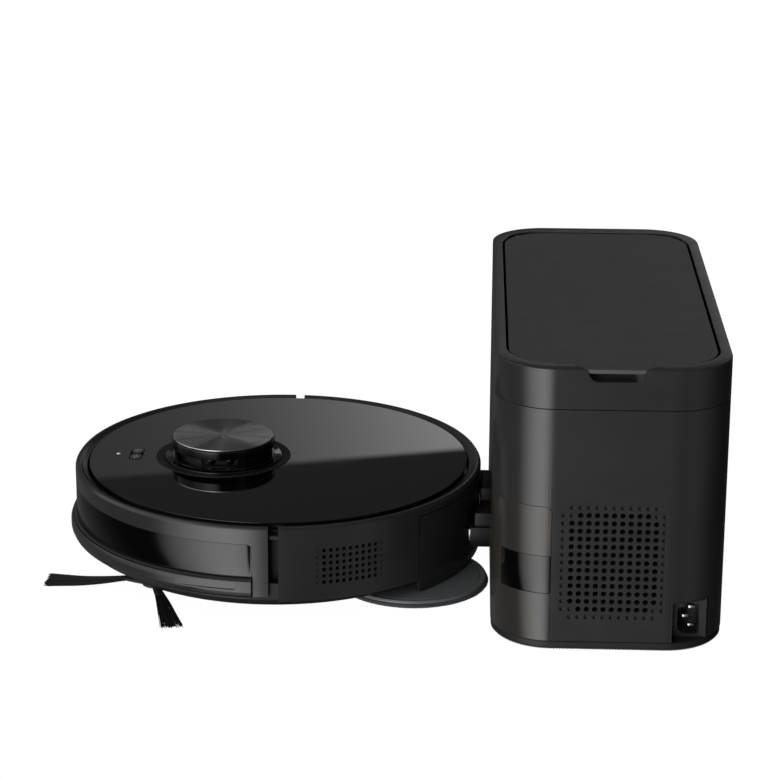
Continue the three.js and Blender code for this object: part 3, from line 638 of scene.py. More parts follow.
part(revolve("turret_outer_ring", fil([(50.9, 80.2), (57.5, 80.2), (57.5, 82.4), (56.4, 82.5), (50.9, 82.3)], [0.1, 0.1, 0.5, 0.6, 0.3], 3),
             cx=TX, step=3), "turret_ring")
guard = revolve("turret_guard_cage", fil([(40.4, 80.2), (50.5, 80.2), (50.5, 83.1), (49.5, 83.5), (44.8, 83.6), (44.4, 84.0), (40.4, 84)],
                                         [0.1, 0.1, 0.5, 0.5, 0.2, 0.3, 0.3], 3), cx=TX, step=3)
union(guard, revolve("cap", fil([(0, 92.4), (44.5, 92.4), (44.5, 98.9), (43.9, 99.5), (0, 99.5)], [0, 0.5, 0.6, 0.5, 0], 3), cx=TX, step=3))
for a in (-63.6, 26.4, 116.4, 206.4):
    union(guard, revolve("pillar", [(40.6, 83.2), (43.6, 83.2), (43.6, 93), (40.6, 93)], a - 4.5, a + 4.5, cx=TX, step=1.5))
part(guard, "turret_guard")
part(revolve("turret_brushed_disc", fil([(0, 99.8), (43.2, 99.8), (43.2, 101.0), (0, 101.0)], [0, 0.1, 0.45, 0], 3), cx=TX, step=2),
     "turret_cap_disc")
rotor = revolve("lidar_head", fil([(0, 77.2), (36.5, 77.2), (36.5, 91.6), (0, 91.6)], [0, 0.4, 1.0, 0], 3), cx=TX, step=3)
union(rotor, cylz("c", 12, TX, 0, 65, 78, 48))
cut(rotor, box("w", TX - 16, TX + 16, -40, -30, 84, 90.4))
for zz in (80.0, 81.6):
    cut(rotor, revolve("gr", [(35.9, zz), (38, zz), (38, zz + 0.7), (35.9, zz + 0.7)], cx=TX, step=4))
part(rotor, "lidar_rotor")
lens = []
for dx, rr_ in ((-7.5, 4.2), (8.5, 3.0)):
    lens.append(prism("lens", ring_pts(TX + dx, 87.2, rr_ - 1.2 + 1.2 * 1.0 if rr_ < 4 else 2.9, 24), -32.0, -29.9, "Y"))
extra(bevel(merged("lidar_lenses", lens), 0.3, 2), "ir_plastic", "lidar")

# buttons, their printed marks and the status light
for nm, node, y0, y1 in (("power_key_cap", "power_button", 0.5, 15.3), ("home_key_cap", "home_button", -15.3, -0.5)):
    k = prism(nm, rr(-127.9, -117.7, y0, y1, 5, 8), 79.6, 82.3)
    union(k, cylz("c", 2, -122.8, (y0 + y1) / 2, 66, 80, 24))
    part(bevel(k, 0.45, 3), node, angle=9)
pm = revolve("m", [(2.1, 82.28), (2.75, 82.28), (2.75, 82.42), (2.1, 82.42)], 215, 505, cx=-122.8, cy=7.9, n=30)
pb = box("m", -125.9, -122.9, 7.55, 8.25, 82.28, 82.42)
extra(merged("power_key_mark", [pm, pb]), "printed_mark", "power_key")
hm = prism("m", [(-125.6, -7.9), (-122.9, -11.0), (-122.3, -10.4), (-124.6, -7.9), (-122.3, -5.4), (-122.9, -4.8)], 82.28, 82.42)
hb = prism("m", [(-122.8, -9.7), (-120.4, -9.7), (-120.4, -6.1), (-122.8, -6.1), (-122.8, -6.7), (-121.0, -6.7), (-121.0, -9.1), (-122.8, -9.1)],
           82.28, 82.42)
extra(merged("home_key_mark", [hm, hb]), "printed_mark", "home_key")
part(revolve("status_light", fil([(0, 77), (1.8, 77), (1.8, 82.1), (0, 82.1)], [0, 0.1, 0.5, 0], 3), cx=-138.8, n=24), "status_led")

# ------------------------------------------------------------------ robot: chassis
pan = revolve("robot_chassis_pan", fil([(0, 8), (156, 8), (161, 12.5), (170.6, 18.2), (170.6, 20.2), (161.5, 20.2), (161.5, 75.5),
                                        (158.5, 75.5), (158.5, 15.5), (154, 11), (0, 11)],
                                       [0, 2.5, 3, 1, 0.3, 0.3, 0.3, 0.3, 1, 1, 0], 3), step=2)
union(pan, box("b", -3, 51, -83.4, 83.4, 10.5, 44), box("b", -10, 58, -83, 83, 10.8, 14), box("b", -160, -117, -14, 14, 31, 43))
for s in (-1, 1):
    ya, yb = sorted((s * 160, s * 170.6))
    union(pan, box("b", 1, 14, ya, yb, 19.5, 32.7), box("b", 1, 14, ya, yb, 70.6, 73.4))
cut(pan, box("b", -0.5, 48.5, -81, 81, 9, 41.6), box("b", 10, 38, -35, 35, 40, 45), cylz("c", 6.6, -128, 0, 20, 50))
bay = revolve("bay", [(0, 20.3), (400, 20.3), (400, 120), (0, 120)], -45.4, 45.4, n=8)
both(bay, box("b", 60, 200, -150, 150, 20.3, 120))
cut(pan, bay, box("b", -3.9, 51.9, -85.9, 85.9, 7, 11.2), box("b", -0.5, 48.5, -81, 81, 5, 30),
    box("b", -50, 40, 84.5, 126, 7, 11.5), box("b", -50, 40, -126, -84.5, 7, 11.5),
    cylz("c", 24, -128, 0, 5, 12, 64), cylz("c", 15, -95, -107, 5, 12.5, 48),
    cylz("c", 16, 118.2, 77.6, 5, 12, 48), cylz("c", 16, 118.2, -77.6, 5, 12, 48))
# shallow panel line and screw wells in the underside
under = [prism("p", rr(-112, -38, -46, 46, 6), 7.0, 8.5)]
cut(pan, *under)
wells = []
for a, r in ((20, 150), (-20, 150), (62, 150), (-62, 150), (118, 150), (-128, 150), (160, 148), (-160, 148)):
    wells.append(cylz("w", 4.0, r * math.cos(math.radians(a)), r * math.sin(math.radians(a)), 6.5, 9.4, 20))
cut(pan, merged("wells", wells))
part(pan, "chassis_base")
screws = []
for a, r in ((20, 150), (-20, 150), (62, 150), (-62, 150), (118, 150), (-128, 150), (160, 148), (-160, 148)):
    x, y = r * math.cos(math.radians(a)), r * math.sin(math.radians(a))
    h = revolve("sc", fil([(0, 8.3), (2.6, 8.3), (3.1, 8.8), (3.1, 9.3), (0, 9.3)], [0, 0.3, 0.3, 0, 0], 2), cx=x, cy=y, n=20)
    cut(h, box("x", x - 1.9, x + 1.9, y - 0.4, y + 0.4, 7.5, 8.9), box("x", x - 0.4, x + 0.4, y - 1.9, y + 1.9, 7.5, 8.9))
    screws.append(h)
extra(merged("underside_screws", screws), "contact_metal", "robot", mat="screw_steel")
cover = prism("battery_door", rr(-111.5, -38.5, -45.5, 45.5, 5.6), 7.6, 8.45)
grooves = [box("g", -106, -44, y, y + 1.2, 7.2, 7.9) for y in (-34, -30, -26, 24.8, 28.8, 32.8)]
cut(cover, *grooves)
extra(bevel(cover, 0.25, 2), "base_plastic", "robot")
eyes = [prism("e", rr(x - 7, x + 7, y - 4, y + 4, 3.9, 6), 7.75, 8.1) for x, y in ((-146, 46), (-146, -46), (-57, 136), (-57, -136))]
extra(bevel(merged("drop_sensors", eyes), 0.2, 2), "ir_plastic", "robot")

# ------------------------------------------------------------------ rear module
mod = revolve("rear_module_housing", fil([(0, 36), (171, 36), (171, 8.2), (173.5, 8.2), (174.3, 9.2), (174.3, 73.4), (0, 73.4)],
                                         [0, 0.3, 0.3, 0.4, 0.5, 0.9, 0], 3), -44.2, 44.2, step=1.0)
both(mod, box("b", 84, 200, -190, 190, 0, 80))
hollow = revolve("hol", [(0, 38.6), (171, 38.6), (171, 70.8), (0, 70.8)], -42.9, 42.9, step=1.0)
both(hollow, box("b", 86.6, 200, -190, 190, 30, 75))
cut(mod, hollow, prism("port", rr(-17, 17, 46.6, 60.6, 2.5, 5), 150, 190, "X"), box("b", 80, 90, -26, 26, 44, 64),
    prism("p", rr(-58.3, -46.7, 28, 41.6, 1.5, 4), 150, 185, "X"), prism("p", rr(46.7, 58.3, 28, 41.6, 1.5, 4), 150, 185, "X"))
part(mod, "rear_module_shell")

# ------------------------------------------------------------------ wheels
def turned_y(name, prof, cx, cz, n=64):
    """Turned piece about a line parallel to Y; prof is a closed list of (radius, y)."""
    m = len(prof)
    verts = [(cx + r * math.cos(2 * math.pi * i / n), y, cz + r * math.sin(2 * math.pi * i / n)) for i in range(n) for r, y in prof]
    faces = [(i * m + q, ((i + 1) % n) * m + q, ((i + 1) % n) * m + (q + 1) % m, i * m + (q + 1) % m) for i in range(n) for q in range(m)]
    return obj_from(name, verts, faces)


for side_name, s in (("left", -1), ("right", 1)):
    yy = lambda a: s * a
    hub = turned_y("drive_hub_" + side_name, fil([(0, yy(101.2)), (6, yy(101.2)), (6, yy(105)), (24, yy(105)), (24, yy(121.6)), (20.5, yy(121.6)),
                                                  (19, yy(118.5)), (8, yy(118.5)), (7, yy(121)), (0, yy(121))],
                                                 [0, 0.3, 0.3, 0.4, 0.6, 0.5, 0.8, 0.5, 0.5, 0], 2), 0, 35)
    spokes = []
    for i in range(6):
        a = math.radians(60 * i + 15)
        b = prism("sp", [(7, -1.3), (20.5, -1.3), (20.5, 1.3), (7, 1.3)], *sorted((yy(118.0), yy(121.0))), "Y")
        b.data.transform(Matrix.Translation(P(0, 0, 35)) @ Matrix.Rotation(a, 4, "Y") @ Matrix.Translation(-P(0, 0, 0)))
        spokes.append(b)
    union(hub, *spokes)
    part(hub, "wheel_hub_" + side_name)
    tyre = turned_y("drive_tyre_" + side_name, fil([(24.4, yy(104)), (31.6, yy(104)), (33.4, yy(106)), (33.4, yy(120)), (31.6, yy(122)), (24.4, yy(122))],
                                                   [0.2, 0.8, 0.8, 0.8, 0.8, 0.2], 2), 0, 35, 96)
    lugs = []
    for i in range(30):
        a0 = 2 * math.pi * i / 30
        h = math.pi / 30 * 0.95
        vs, fs = [], []
        cols = [(-7.6, 0.0), (0.0, 0.09), (7.6, 0.0)]
        for yv, sh in cols:
            for r_, t_ in ((33.0, -h / 2 * 1.15), (34.9, -h / 2 * 0.8), (34.9, h / 2 * 0.8), (33.0, h / 2 * 1.15)):
                t = a0 + t_ + sh
                vs.append((r_ * math.cos(t), s * 113 + yv, 35 + r_ * math.sin(t)))
        fs = [(0, 1, 2, 3), (11, 10, 9, 8)]
        for c in range(2):
            for q in range(4):
                fs.append((c * 4 + q, c * 4 + (q + 1) % 4, (c + 1) * 4 + (q + 1) % 4, (c + 1) * 4 + q))
        lugs.append(obj_from("lug", vs, fs))
    union(tyre, merged("lugs", lugs))
    part(tyre, "wheel_tyre_" + side_name)

cw = turned_y("caster_roller", fil([(2.3, -7.2), (9, -7.2), (12.4, -5.6), (12.5, -1.0), (11.7, -0.5), (11.7, 0.5), (12.5, 1.0), (12.4, 5.6), (9, 7.2), (2.3, 7.2)],
                                   [0.3, 1, 1.2, 0.3, 0.2, 0.2, 0.3, 1.2, 1, 0.3], 2), -121, 12.5, 56)
part(cw, "caster_wheel")

# main brush: core and chevron fins
core = turned_y("main_brush_core", fil([(0, -80), (3.5, -80), (3.5, -77.6), (10.4, -77.6), (10.4, 77.6), (3.5, 77.6), (3.5, 80), (0, 80)],
                                       [0, 0.4, 0.3, 1, 1, 0.3, 0.4, 0], 2), 24, 20.5, 48)
part(core, "brush_core")
fins = [turned_y("sleeve", [(10.8, -76), (12.6, -76), (12.6, 76), (10.8, 76)], 24, 20.5, 60)]
for k in range(6):
    vs, fs = [], []
    ys = np.linspace(-76, 76, 33)
    for yv in ys:
        sh = 0.75 * (1 - abs(yv) / 76.0)
        base = math.radians(60 * k + 30) - 0.35 + sh
        for r_, d in ((12.0, -1.5), (19.6, -0.7), (19.9, -0.35), (19.9, 0.35), (19.6, 0.7), (12.0, 1.5)):
            t = base + d / r_
            vs.append((24 + r_ * math.cos(t), yv, 20.5 + r_ * math.sin(t)))
    for i in range(32):
        for q in range(6):
            fs.append((i * 6 + q, i * 6 + (q + 1) % 6, (i + 1) * 6 + (q + 1) % 6, (i + 1) * 6 + q))
    fs += [tuple(range(6)), tuple(range(192, 198))[::-1]]
    fins.append(obj_from("fin", vs, fs))
f0 = fins[0]
union(f0, *fins[1:])
f0.name = "main_brush_fins"
part(f0, "brush_fins")
gd = box("main_brush_guard", -3.5, 51.5, -85.5, 85.5, 7.4, 10.1)
cut(gd, prism("o", rr(1.5, 46.5, -78.5, 78.5, 3), 5, 12))
for yv in (-52, -26, 0, 26, 52):
    union(gd, box("bar", 1.0, 47.0, yv - 0.9, yv + 0.9, 7.4, 8.6))
part(gd, "brush_guard") if False else part(bevel(gd, 0.3, 1), "brush_guard")

# ------------------------------------------------------------------ side brush
SBX, SBY = -95.0, -107.0
hub = revolve("side_brush_disc", fil([(0, 4), (9, 4), (12, 5.2), (12, 8.4), (0, 8.4)], [0, 1.5, 1, 0.8, 0], 3), cx=SBX, cy=SBY, n=48)
union(hub, cylz("c", 3, SBX, SBY, 8, 16.8, 24))
PATHS = [[(-107, -104), (-122, -96.2), (-148, -97), (-189.0, -95.8)],
         [(-94.0, -113), (-92, -123), (-83, -151), (-72.2, -191.5)],
         [(-90.5, -102), (-80, -88), (-58, -68), (-32, -40)]]
for pts in PATHS:
    (xa, ya), (xb, yb) = pts[0], pts[1]
    d = Vector((xb - xa, yb - ya)).normalized()
    vs, fs, nn = [], [], 14
    L = [(-5.0, 4.2, 2.2), (6, 4.0, 2.1), (14, 3.6, 1.9), (20, 3.2, 1.7), (21, 2.6, 1.3)]
    for (l, w, h) in L:
        cx, cy = xa + d.x * l, ya + d.y * l
        for i in range(nn):
            t = 2 * math.pi * i / nn
            vs.append((cx - d.y * w * math.cos(t), cy + d.x * w * math.cos(t), 5.8 - l * 0.05 + h * math.sin(t)))
    for k in range(len(L) - 1):
        for i in range(nn):
            fs.append((k * nn + i, k * nn + (i + 1) % nn, (k + 1) * nn + (i + 1) % nn, (k + 1) * nn + i))
    fs += [tuple(range(nn)), tuple(range((len(L) - 1) * nn, len(L) * nn))[::-1]]
    union(hub, obj_from("sleeve", vs, fs))
part(hub, "side_brush_hub")


def spline(pts, n):
    """Catmull-Rom through 2-D or 3-D points."""
    p = [np.array(q, float) for q in pts]
    p = [2 * p[0] - p[1]] + p + [2 * p[-1] - p[-2]]
    out = []
    segs = len(p) - 3
    for i in range(segs):
        for k in range(n if i < segs - 1 else n + 1):
            t = k / n
            a, b, c, d = p[i], p[i + 1], p[i + 2], p[i + 3]
            out.append(0.5 * ((2 * b) + (-a + c) * t + (2 * a - 5 * b + 4 * c - d) * t ** 2 + (-a + 3 * b - 3 * c + d) * t ** 3))
    return out


verts, faces = [], []
for pi, pts in enumerate(PATHS):
    line = spline(pts[1:], 5)
    nb = 150
    for i in range(nb):
        u = rng.uniform(-1, 1)
        v = rng.uniform(-1, 1)
        long_ = 1.0 + rng.uniform(-0.055, 0.012)
        tipw = (13.2 if pi == 0 else 8.8) * u + rng.normal(0, 0.5)
        rootw = 3.2 * u
        wob = rng.normal(0, 0.35)
        ring0 = len(verts)
        K = len(line)
        for k, q in enumerate(line):
            t = k / (K - 1)
            j = min(k + 1, K - 1)
            dd = line[j] - line[max(0, j - 1)]
            dd = dd / (np.linalg.norm(dd) + 1e-9)
            w = rootw + (tipw - rootw) * (t ** 1.15) + wob * math.sin(3 * t + i)
            qq = line[0] + (q - line[0]) * (long_ if k == K - 1 else 1.0)
            cx, cy = qq[0] - dd[1] * w, qq[1] + dd[0] * w
            cz = 5.0 + (2.0 - 5.0) * min(1.0, t * 1.5) + 1.15 * v * (1 - 0.2 * t)
            rad = 0.36 * (1 - 0.35 * t)
            for s_ in range(5):
                th = 2 * math.pi * s_ / 5
                verts.append((cx - dd[1] * rad * math.cos(th), cy + dd[0] * rad * math.cos(th), max(0.12, cz) + rad * math.sin(th)))
        for k in range(K - 1):
            for s_ in range(5):
                a = ring0 + k * 5 + s_
                b_ = ring0 + k * 5 + (s_ + 1) % 5
                faces.append((a, b_, b_ + 5, a + 5))
        faces.append(tuple(ring0 + s_ for s_ in range(5)))
        faces.append(tuple(ring0 + (K - 1) * 5 + s_ for s_ in range(5))[::-1])
verts = [(x, y, max(z, 0.05)) for x, y, z in verts]
part(obj_from("side_brush_tufts", verts, faces, merge=False), "side_brush_bristles")

# ------------------------------------------------------------------ mops
for side_name, s in (("left", -1), ("right", 1)):
    cy = s * 77.6
    plate = revolve("mop_disc_" + side_name, fil([(0, 4.5), (62.2, 4.5), (62.4, 5.4), (61.5, 6.8), (58.2, 6.8), (57.7, 6.3), (56.8, 6.3), (56.3, 6.8),
                                                  (14, 6.8), (12, 8.2), (12, 13.4), (5, 13.4), (5, 7.3), (0, 7.3)],
                                                 [0, 0.3, 0.4, 0.5, 0.2, 0.1, 0.1, 0.2, 1.0, 0.5, 0.5, 0.3, 0.3, 0], 2), cx=118.2, cy=cy, n=120)
    part(plate, "mop_plate_" + side_name)
    # microfibre pad: loose loops round the rim, quilted underside
    nA, verts, faces = 360, [], []
    prof = [(0.0, 0.5), (14, 0.35), (28, 0.3), (42, 0.3), (54, 0.35), (60.2, 0.5), (63.0, 1.0), (63.8, 2.0), (63.4, 3.2), (62.4, 4.1), (58.6, 4.25), (40, 4.2), (0, 4.2)]
    for i in range(nA):
        a = 2 * math.pi * i / nA
        for j, (r, z) in enumerate(prof):
            lobe = 0.0
            if 59 < r:
                lobe = 0.22 * math.sin(a * 180) + rng.uniform(-0.3, 0.15)
            zz = z
            if z < 0.6 and 10 < r < 60:
                zz = z + 0.25 * math.sin(a * 24) * math.sin(r * 0.6) + 0.25
            verts.append((118.2 + (r + lobe) * math.cos(a), cy + (r + lobe) * math.sin(a), max(0.05, zz)))
    m = len(prof)
    for i in range(nA):
        for q in range(m):
            faces.append((i * m + q, ((i + 1) % nA) * m + q, ((i + 1) % nA) * m + (q + 1) % m, i * m + (q + 1) % m))
    pad = obj_from("mop_cloth_" + side_name, verts, faces)
    part(pad, "mop_pad_" + side_name, angle=60)

# ------------------------------------------------------------------ dock
X0, X1, Y0, Y1, RC = 182.95, 367.35, -218.0, 218.0, 47.8
DXC = 275.15
dock = lambda name, prof, n=28: rr_sweep(name, X0, X1, Y0, Y1, RC, prof, n)

# foot: a ribbed rubber ring
path = []
for cx, cy, a0 in ((X1 - RC, Y0 + RC, -90), (X1 - RC, Y1 - RC, 0), (X0 + RC, Y1 - RC, 90), (X0 + RC, Y0 + RC, 180)):
    nxt = {-90: ("y", X1, Y0 + RC, Y1 - RC), 0: ("x", Y1, X1 - RC, X0 + RC), 90: ("y", X0, Y1 - RC, Y0 + RC), 180: ("x", Y0, X0 + RC, X1 - RC)}[a0]
    for i in range(68):
        a = math.radians(a0 + 90 * i / 68)
        path.append((cx + RC * math.cos(a), cy + RC * math.sin(a), math.cos(a), math.sin(a)))
    L = abs(nxt[3] - nxt[2])
    k = int(L / 1.1)
    a = math.radians(a0 + 90)
    for i in range(k):
        v = nxt[2] + (nxt[3] - nxt[2]) * i / k
        path.append(((nxt[1], v) if nxt[0] == "y" else (v, nxt[1])) + (math.cos(a), math.sin(a)))
if len(path) % 2:
    path.pop()
verts, faces = [], []
for i, (x, y, nx, ny) in enumerate(path):
    rib = 0.0 if i % 2 else 1.0
    for inset, z in ((2.6 + 0.7 * (1 - rib), 0.5 * (1 - rib)), (2.5 + 0.6 * (1 - rib), 1.8), (13.6, 1.8), (13.6, 0.2)):
        verts.append((x - nx * inset, y - ny * inset, z))
K = len(path)
for i in range(K):
    for q in range(4):
        faces.append((i * 4 + q, ((i + 1) % K) * 4 + q, ((i + 1) % K) * 4 + (q + 1) % 4, i * 4 + (q + 1) % 4))
part(obj_from("dock_foot", verts, faces), "dock_foot_ring", angle=20)
part(bevel(prism("dock_floor_plate", rr(X0 + 0.4, X1 - 0.4, Y0 + 0.4, Y1 - 0.4, RC - 0.4, 20), 2.1, 7.5), 0.9, 3), "dock_base_plate")

# shell
shell = dock("dock_body_shell", fil([(0, 7.8), (0, 199.7), (3, 199.7), (3, 7.8)], [0.5, 0.5, 0.2, 0.2], 2))
cut(shell, prism("panel_gap", fil([(100, -5), (229.15, -5), (229.15, 120.25), (100, 120.25)], [0, 0, 6.35, 0], 8), -300, 300, "Y"),
    box("inl", DXC + 47.9, DXC + 79.3, -230, -190, 0, 42.4))
holes, dimples = [], []
for i in range(13):
    for j in range(15):
        u = 2.1 + (i - 6) * 6.55
        z = 74.6 + (j - 7) * 6.53
        outer = i in (0, 12) or j in (0, 14)
        near_corner = (i in (1, 11) and j in (1, 13))
        if i in (0, 12) and j in (0, 14):
            continue
        if outer or near_corner:
            dimples.append(prism("d", ring_pts(DXC + u, z, 1.9, 14), -230, -215.9, "Y"))
        else:
            holes.append(prism("h", ring_pts(DXC + u, z, 2.15, 18), -230, -210, "Y"))
cut(shell, merged("holes", holes), merged("dimples", dimples))
part(shell, "dock_shell", angle=32)

# front panel and its two corner windows
panel = dock("dock_front_cover", fil([(0, 7.8), (0, 119.9), (3, 119.9), (3, 7.8)], [0.4, 0.4, 0.2, 0.2], 2))
both(panel, prism("pn", fil([(100, -5), (228.85, -5), (228.85, 119.9), (100, 119.9)], [0, 0, 6.0, 0], 8), -300, 300, "Y"))
cut(panel, prism("duct", rr(-20, 20, 44, 64.2, 3, 5), 170, 190, "X"))
wins = []
for s in (-1, 1):
    cx, cy = X0 + RC, s * (218.0 - RC)

    def wedge_prism(grow, z0, z1):
        a0, a1 = (80.0, 147.0 + grow)
        pts = [(cx, cy)] + [(cx + 90 * math.cos(math.radians(a)), cy + s * 90 * math.sin(math.radians(a)))
                            for a in np.linspace(a0, a1, 4)]
        return prism("wg", pts, z0, z1)
    cut(panel, wedge_prism(0.35, 47.7, 79.3))
    w = dock("dock_signal_window_" + ("near" if s < 0 else "far"), fil([(0.05, 48), (0.05, 79), (3, 79), (3, 48)], [0.3, 0.3, 0.1, 0.1], 2))
    both(w, wedge_prism(0, 40, 90), box("b", 100, 228.85, -300, 300, 0, 200))
    wins.append(w)
part(panel, "dock_front_panel", angle=32)
part(wins[0], "dock_ir_window_near")
part(wins[1], "dock_ir_window_far")

# top frame
tf = dock("dock_lid_frame", fil([(0, 200.1), (0, 232.6), (12, 232.6), (12, 229.6), (3, 229.6), (3, 200.1)], [0.4, 1.3, 0, 0, 0, 0.2], 4))
opening = prism("op", rr(DXC - 83.6, DXC + 83.6, -204.2, 201.4, 42, 16), 200, 250)
flange = prism("fl", rr(X0 + 1.5, X1 - 1.5, Y0 + 1.5, Y1 - 1.5, RC - 1.5, 20), 229.6, 232.6)
fl2 = dock("fl2", [(1.5, 229.7), (1.5, 232.5), (40, 232.5), (40, 229.7)])
bpy.data.objects.remove(flange)
union(tf, fl2)
cut(tf, opening)
lug_a, lug_b = box("a", DXC - 86, DXC - 79.6, 189, 206, 221, 230.8), box("b", DXC + 79.6, DXC + 86, 189, 206, 221, 230.8)
for lug in (lug_a, lug_b):
    both(lug, prism("cl", rr(X0 + 0.6, X1 - 0.6, Y0 + 0.6, Y1 - 0.6, RC - 0.6, 20), 200, 240))
union(tf, lug_a, lug_b, box("c", DXC - 40, DXC + 40, Y0 + 2, Y0 + 14, 217, 230.1))
back = box("bk", DXC - 90, DXC + 90, 201.4, 216, 221, 230.6)
both(back, prism("cl", rr(X0 + 1, X1 - 1, Y0 + 1, Y1 - 1, RC - 1, 12), 200, 240))
union(tf, back)
notch = prism("nt", [(DXC - 23.4, 240), (DXC - 22.8, 232), (DXC - 21, 228), (DXC - 18.5, 224.4), (DXC - 16.5, 222.9), (DXC - 14.5, 222.4),
                     (DXC + 14.5, 222.4), (DXC + 16.5, 222.9), (DXC + 18.5, 224.4), (DXC + 21, 228), (DXC + 22.8, 232), (DXC + 23.4, 240)],
              Y0 - 0.5, Y0 + 11.5, "Y")


def tab(grow, z0, z1):
    return prism("tb", [(DXC - 35 - grow, -201.8), (DXC - 23 - grow, Y0 + 1.4 - grow), (DXC + 23 + grow, Y0 + 1.4 - grow),
                        (DXC + 35 + grow, -201.8), (DXC + 35 + grow, -196), (DXC - 35 - grow, -196)], z0, z1)


pinhole = prism("ph", ring_pts(195, 229.3, 1.7, 20), DXC - 82, DXC + 82, "X")
sunk = prism("sk", rr(DXC - 79.4, DXC + 79.4, -204.2, 201.3, 26, 14), 218, 250)
both(sunk, box("b", DXC - 79.4, DXC + 79.4, 100, 201.3, 218, 250))
cut(tf, notch, tab(0.7, 227.8, 250), pinhole, sunk)
part(tf, "dock_top_frame", angle=12)

lid = rr_sweep("dock_flip_lid", DXC - 81.4, DXC + 81.4, -202, 200, 40, fil([(0, 228.8), (0, 232), (39.9, 232), (39.9, 228.8)], [0.2, 0.7, 0, 0], 3), 20)
lid2 = prism("l2", rr(DXC - 60, DXC + 60, -180, 178, 18.6, 12), 228.8, 232)
bpy.data.objects.remove(lid)
bpy.data.objects.remove(lid2)
lid = prism("dock_flip_lid", rr(DXC - 81.4, DXC + 81.4, -202, 200, 40, 20), 228.8, 232)
union(lid, tab(0, 228.8, 232))
cut(lid, box("b", DXC - 83, DXC - 78.8, 187, 206, 200, 250), box("b", DXC + 78.8, DXC + 83, 187, 206, 200, 250),
    prism("ph", ring_pts(195, 229.3, 1.7, 20), DXC - 90, DXC + 90, "X"), box("b", DXC - 90, DXC + 90, 193.3, 196.7, 220, 229.3))
part(bevel(lid, 0.6, 3), "dock_lid", angle=12)
part(prism("dock_lid_pin", ring_pts(195, 229.3, 1.3, 20), DXC - 81.6, DXC + 81.6, "X"), "lid_hinge_pin")

# mains inlet
sock = box("mains_inlet_socket", DXC + 48.2, DXC + 79.0, -217.5, -186, 7.9, 42.1)
both(sock, prism("cl", rr(X0 + 0.2, X1 - 0.2, Y0 + 0.2, Y1 - 0.2, RC - 0.2, 20), 0, 60))
cut(sock, box("r", DXC + 50, DXC + 77.4, -230, -204, 0, 40.8),
    prism("so", fil([(DXC + 55, 14.6), (DXC + 60.6, 10.6), (DXC + 70.6, 10.6), (DXC + 72, 12), (DXC + 72, 35.2), (DXC + 70.6, 36.6), (DXC + 60.4, 36.6),
                     (DXC + 55, 31.6)], 0.8, 3), -220, -180, "Y"))
part(sock, "inlet_socket")
pins = box("mains_inlet_blades", DXC + 53, DXC + 74, -185.6, -183, 9, 38.6)
for u0, u1, z0, z1 in ((63.8, 68.3, 30.8, 32.8), (63.8, 68.3, 15.4, 17.4), (59.2, 63.7, 23.1, 25.1)):
    union(pins, box("p", DXC + u0, DXC + u1, -200, -185, z0, z1))
part(bevel(pins, 0.3, 2), "inlet_pins")
pins.data.materials.append(MAT["socket_plastic"])
for poly in pins.data.polygons:
    poly.material_index = 1 if poly.center.y > -0.1875 else 0

# docking head and the sprung contacts
head = box("dock_docking_head", 170, 182.65, -55, 55, 41, 53)
union(head, box("b", 170, 182.65, -22, 22, 41, 63.6), box("b", 166, 182.65, -59.2, -45.8, 24.6, 41.5),
      box("b", 166, 182.65, 45.8, 59.2, 24.6, 41.5), box("b", 180, 196, -19, 19, 45, 63.2))
cut(head, cylz("c", 176.3, 0, 0, 0, 200, 240), box("b", 160, 200, -16, 16, 46.8, 60.4),
    box("b", 160, 171.6, -57.6, -47.4, 28.2, 39.9), box("b", 160, 171.6, 47.4, 57.6, 28.2, 39.9),
    box("b", 165, 181.4, -55.6, -49.4, 31, 38), box("b", 165, 181.4, 49.4, 55.6, 31, 38))
# the head takes the near-black painted-shade material
part(bevel(head, 0.5, 2), "docking_head", mat="head_painted_shade_plastic")
for nm, s in (("near", -1), ("far", 1)):
    c = box("charge_contact_" + nm, 164.8, 167.9, s * 52.5 - 4.6, s * 52.5 + 4.6, 28.8, 39.3)
    union(c, box("b", 167.5, 178, s * 52.5 - 2.6, s * 52.5 + 2.6, 31.6, 37.4))
    part(bevel(c, 0.5, 3), "dock_contact_" + nm)

# tub and dust bag
tub = prism("bag_compartment", rr(DXC - 77, DXC + 77, -196, 182, 36, 14), 126, 215)
cut(tub, prism("i", rr(DXC - 74.6, DXC + 74.6, -193.6, 179.6, 33.6, 14), 128.4, 230), prism("d", rr(-20, 20, 140, 165, 4, 5), DXC - 90, DXC - 60, "X"))
part(bevel(tub, 0.5, 2), "bag_tub")


def spow(v, e):
    return math.copysign(abs(v) ** e, v)


nu, nv = 96, 48
verts, faces = [], []
for j in range(nv + 1):
    ph = math.pi * (j / nv - 0.5)
    for i in range(nu):
        th = 2 * math.pi * i / nu
        cx_, sx_, cz_ = math.cos(th) * math.cos(ph), math.sin(th) * math.cos(ph), math.sin(ph)
        e = 0.62
        x, y, z = spow(cx_, e), spow(sx_, e), spow(cz_, 0.72)
        # gusset fold along each side, and soft dents in the faces
        g_ = math.exp(-(z / 0.16) ** 2)
        x *= 1 - 0.12 * g_ * (1 if abs(x) > 0.3 else 0)
        w = 0.035 * math.sin(5.1 * y + 2.2 * x) * math.cos(3.7 * x + 1.3) + 0.022 * math.sin(11 * y - 6 * x) + 0.012 * math.sin(23 * y + 17 * x)
        verts.append((DXC + 60.5 * x, -8 + 148 * y, 166 + 32 * (z + (w if abs(z) > 0.2 else 0) * (1 if z > 0 else -1))))
for j in range(nv):
    for i in range(nu):
        faces.append((j * nu + i, j * nu + (i + 1) % nu, (j + 1) * nu + (i + 1) % nu, (j + 1) * nu + i))
bag = obj_from("dust_bag_soft", verts, faces)
part(bag, "dust_bag", angle=70)

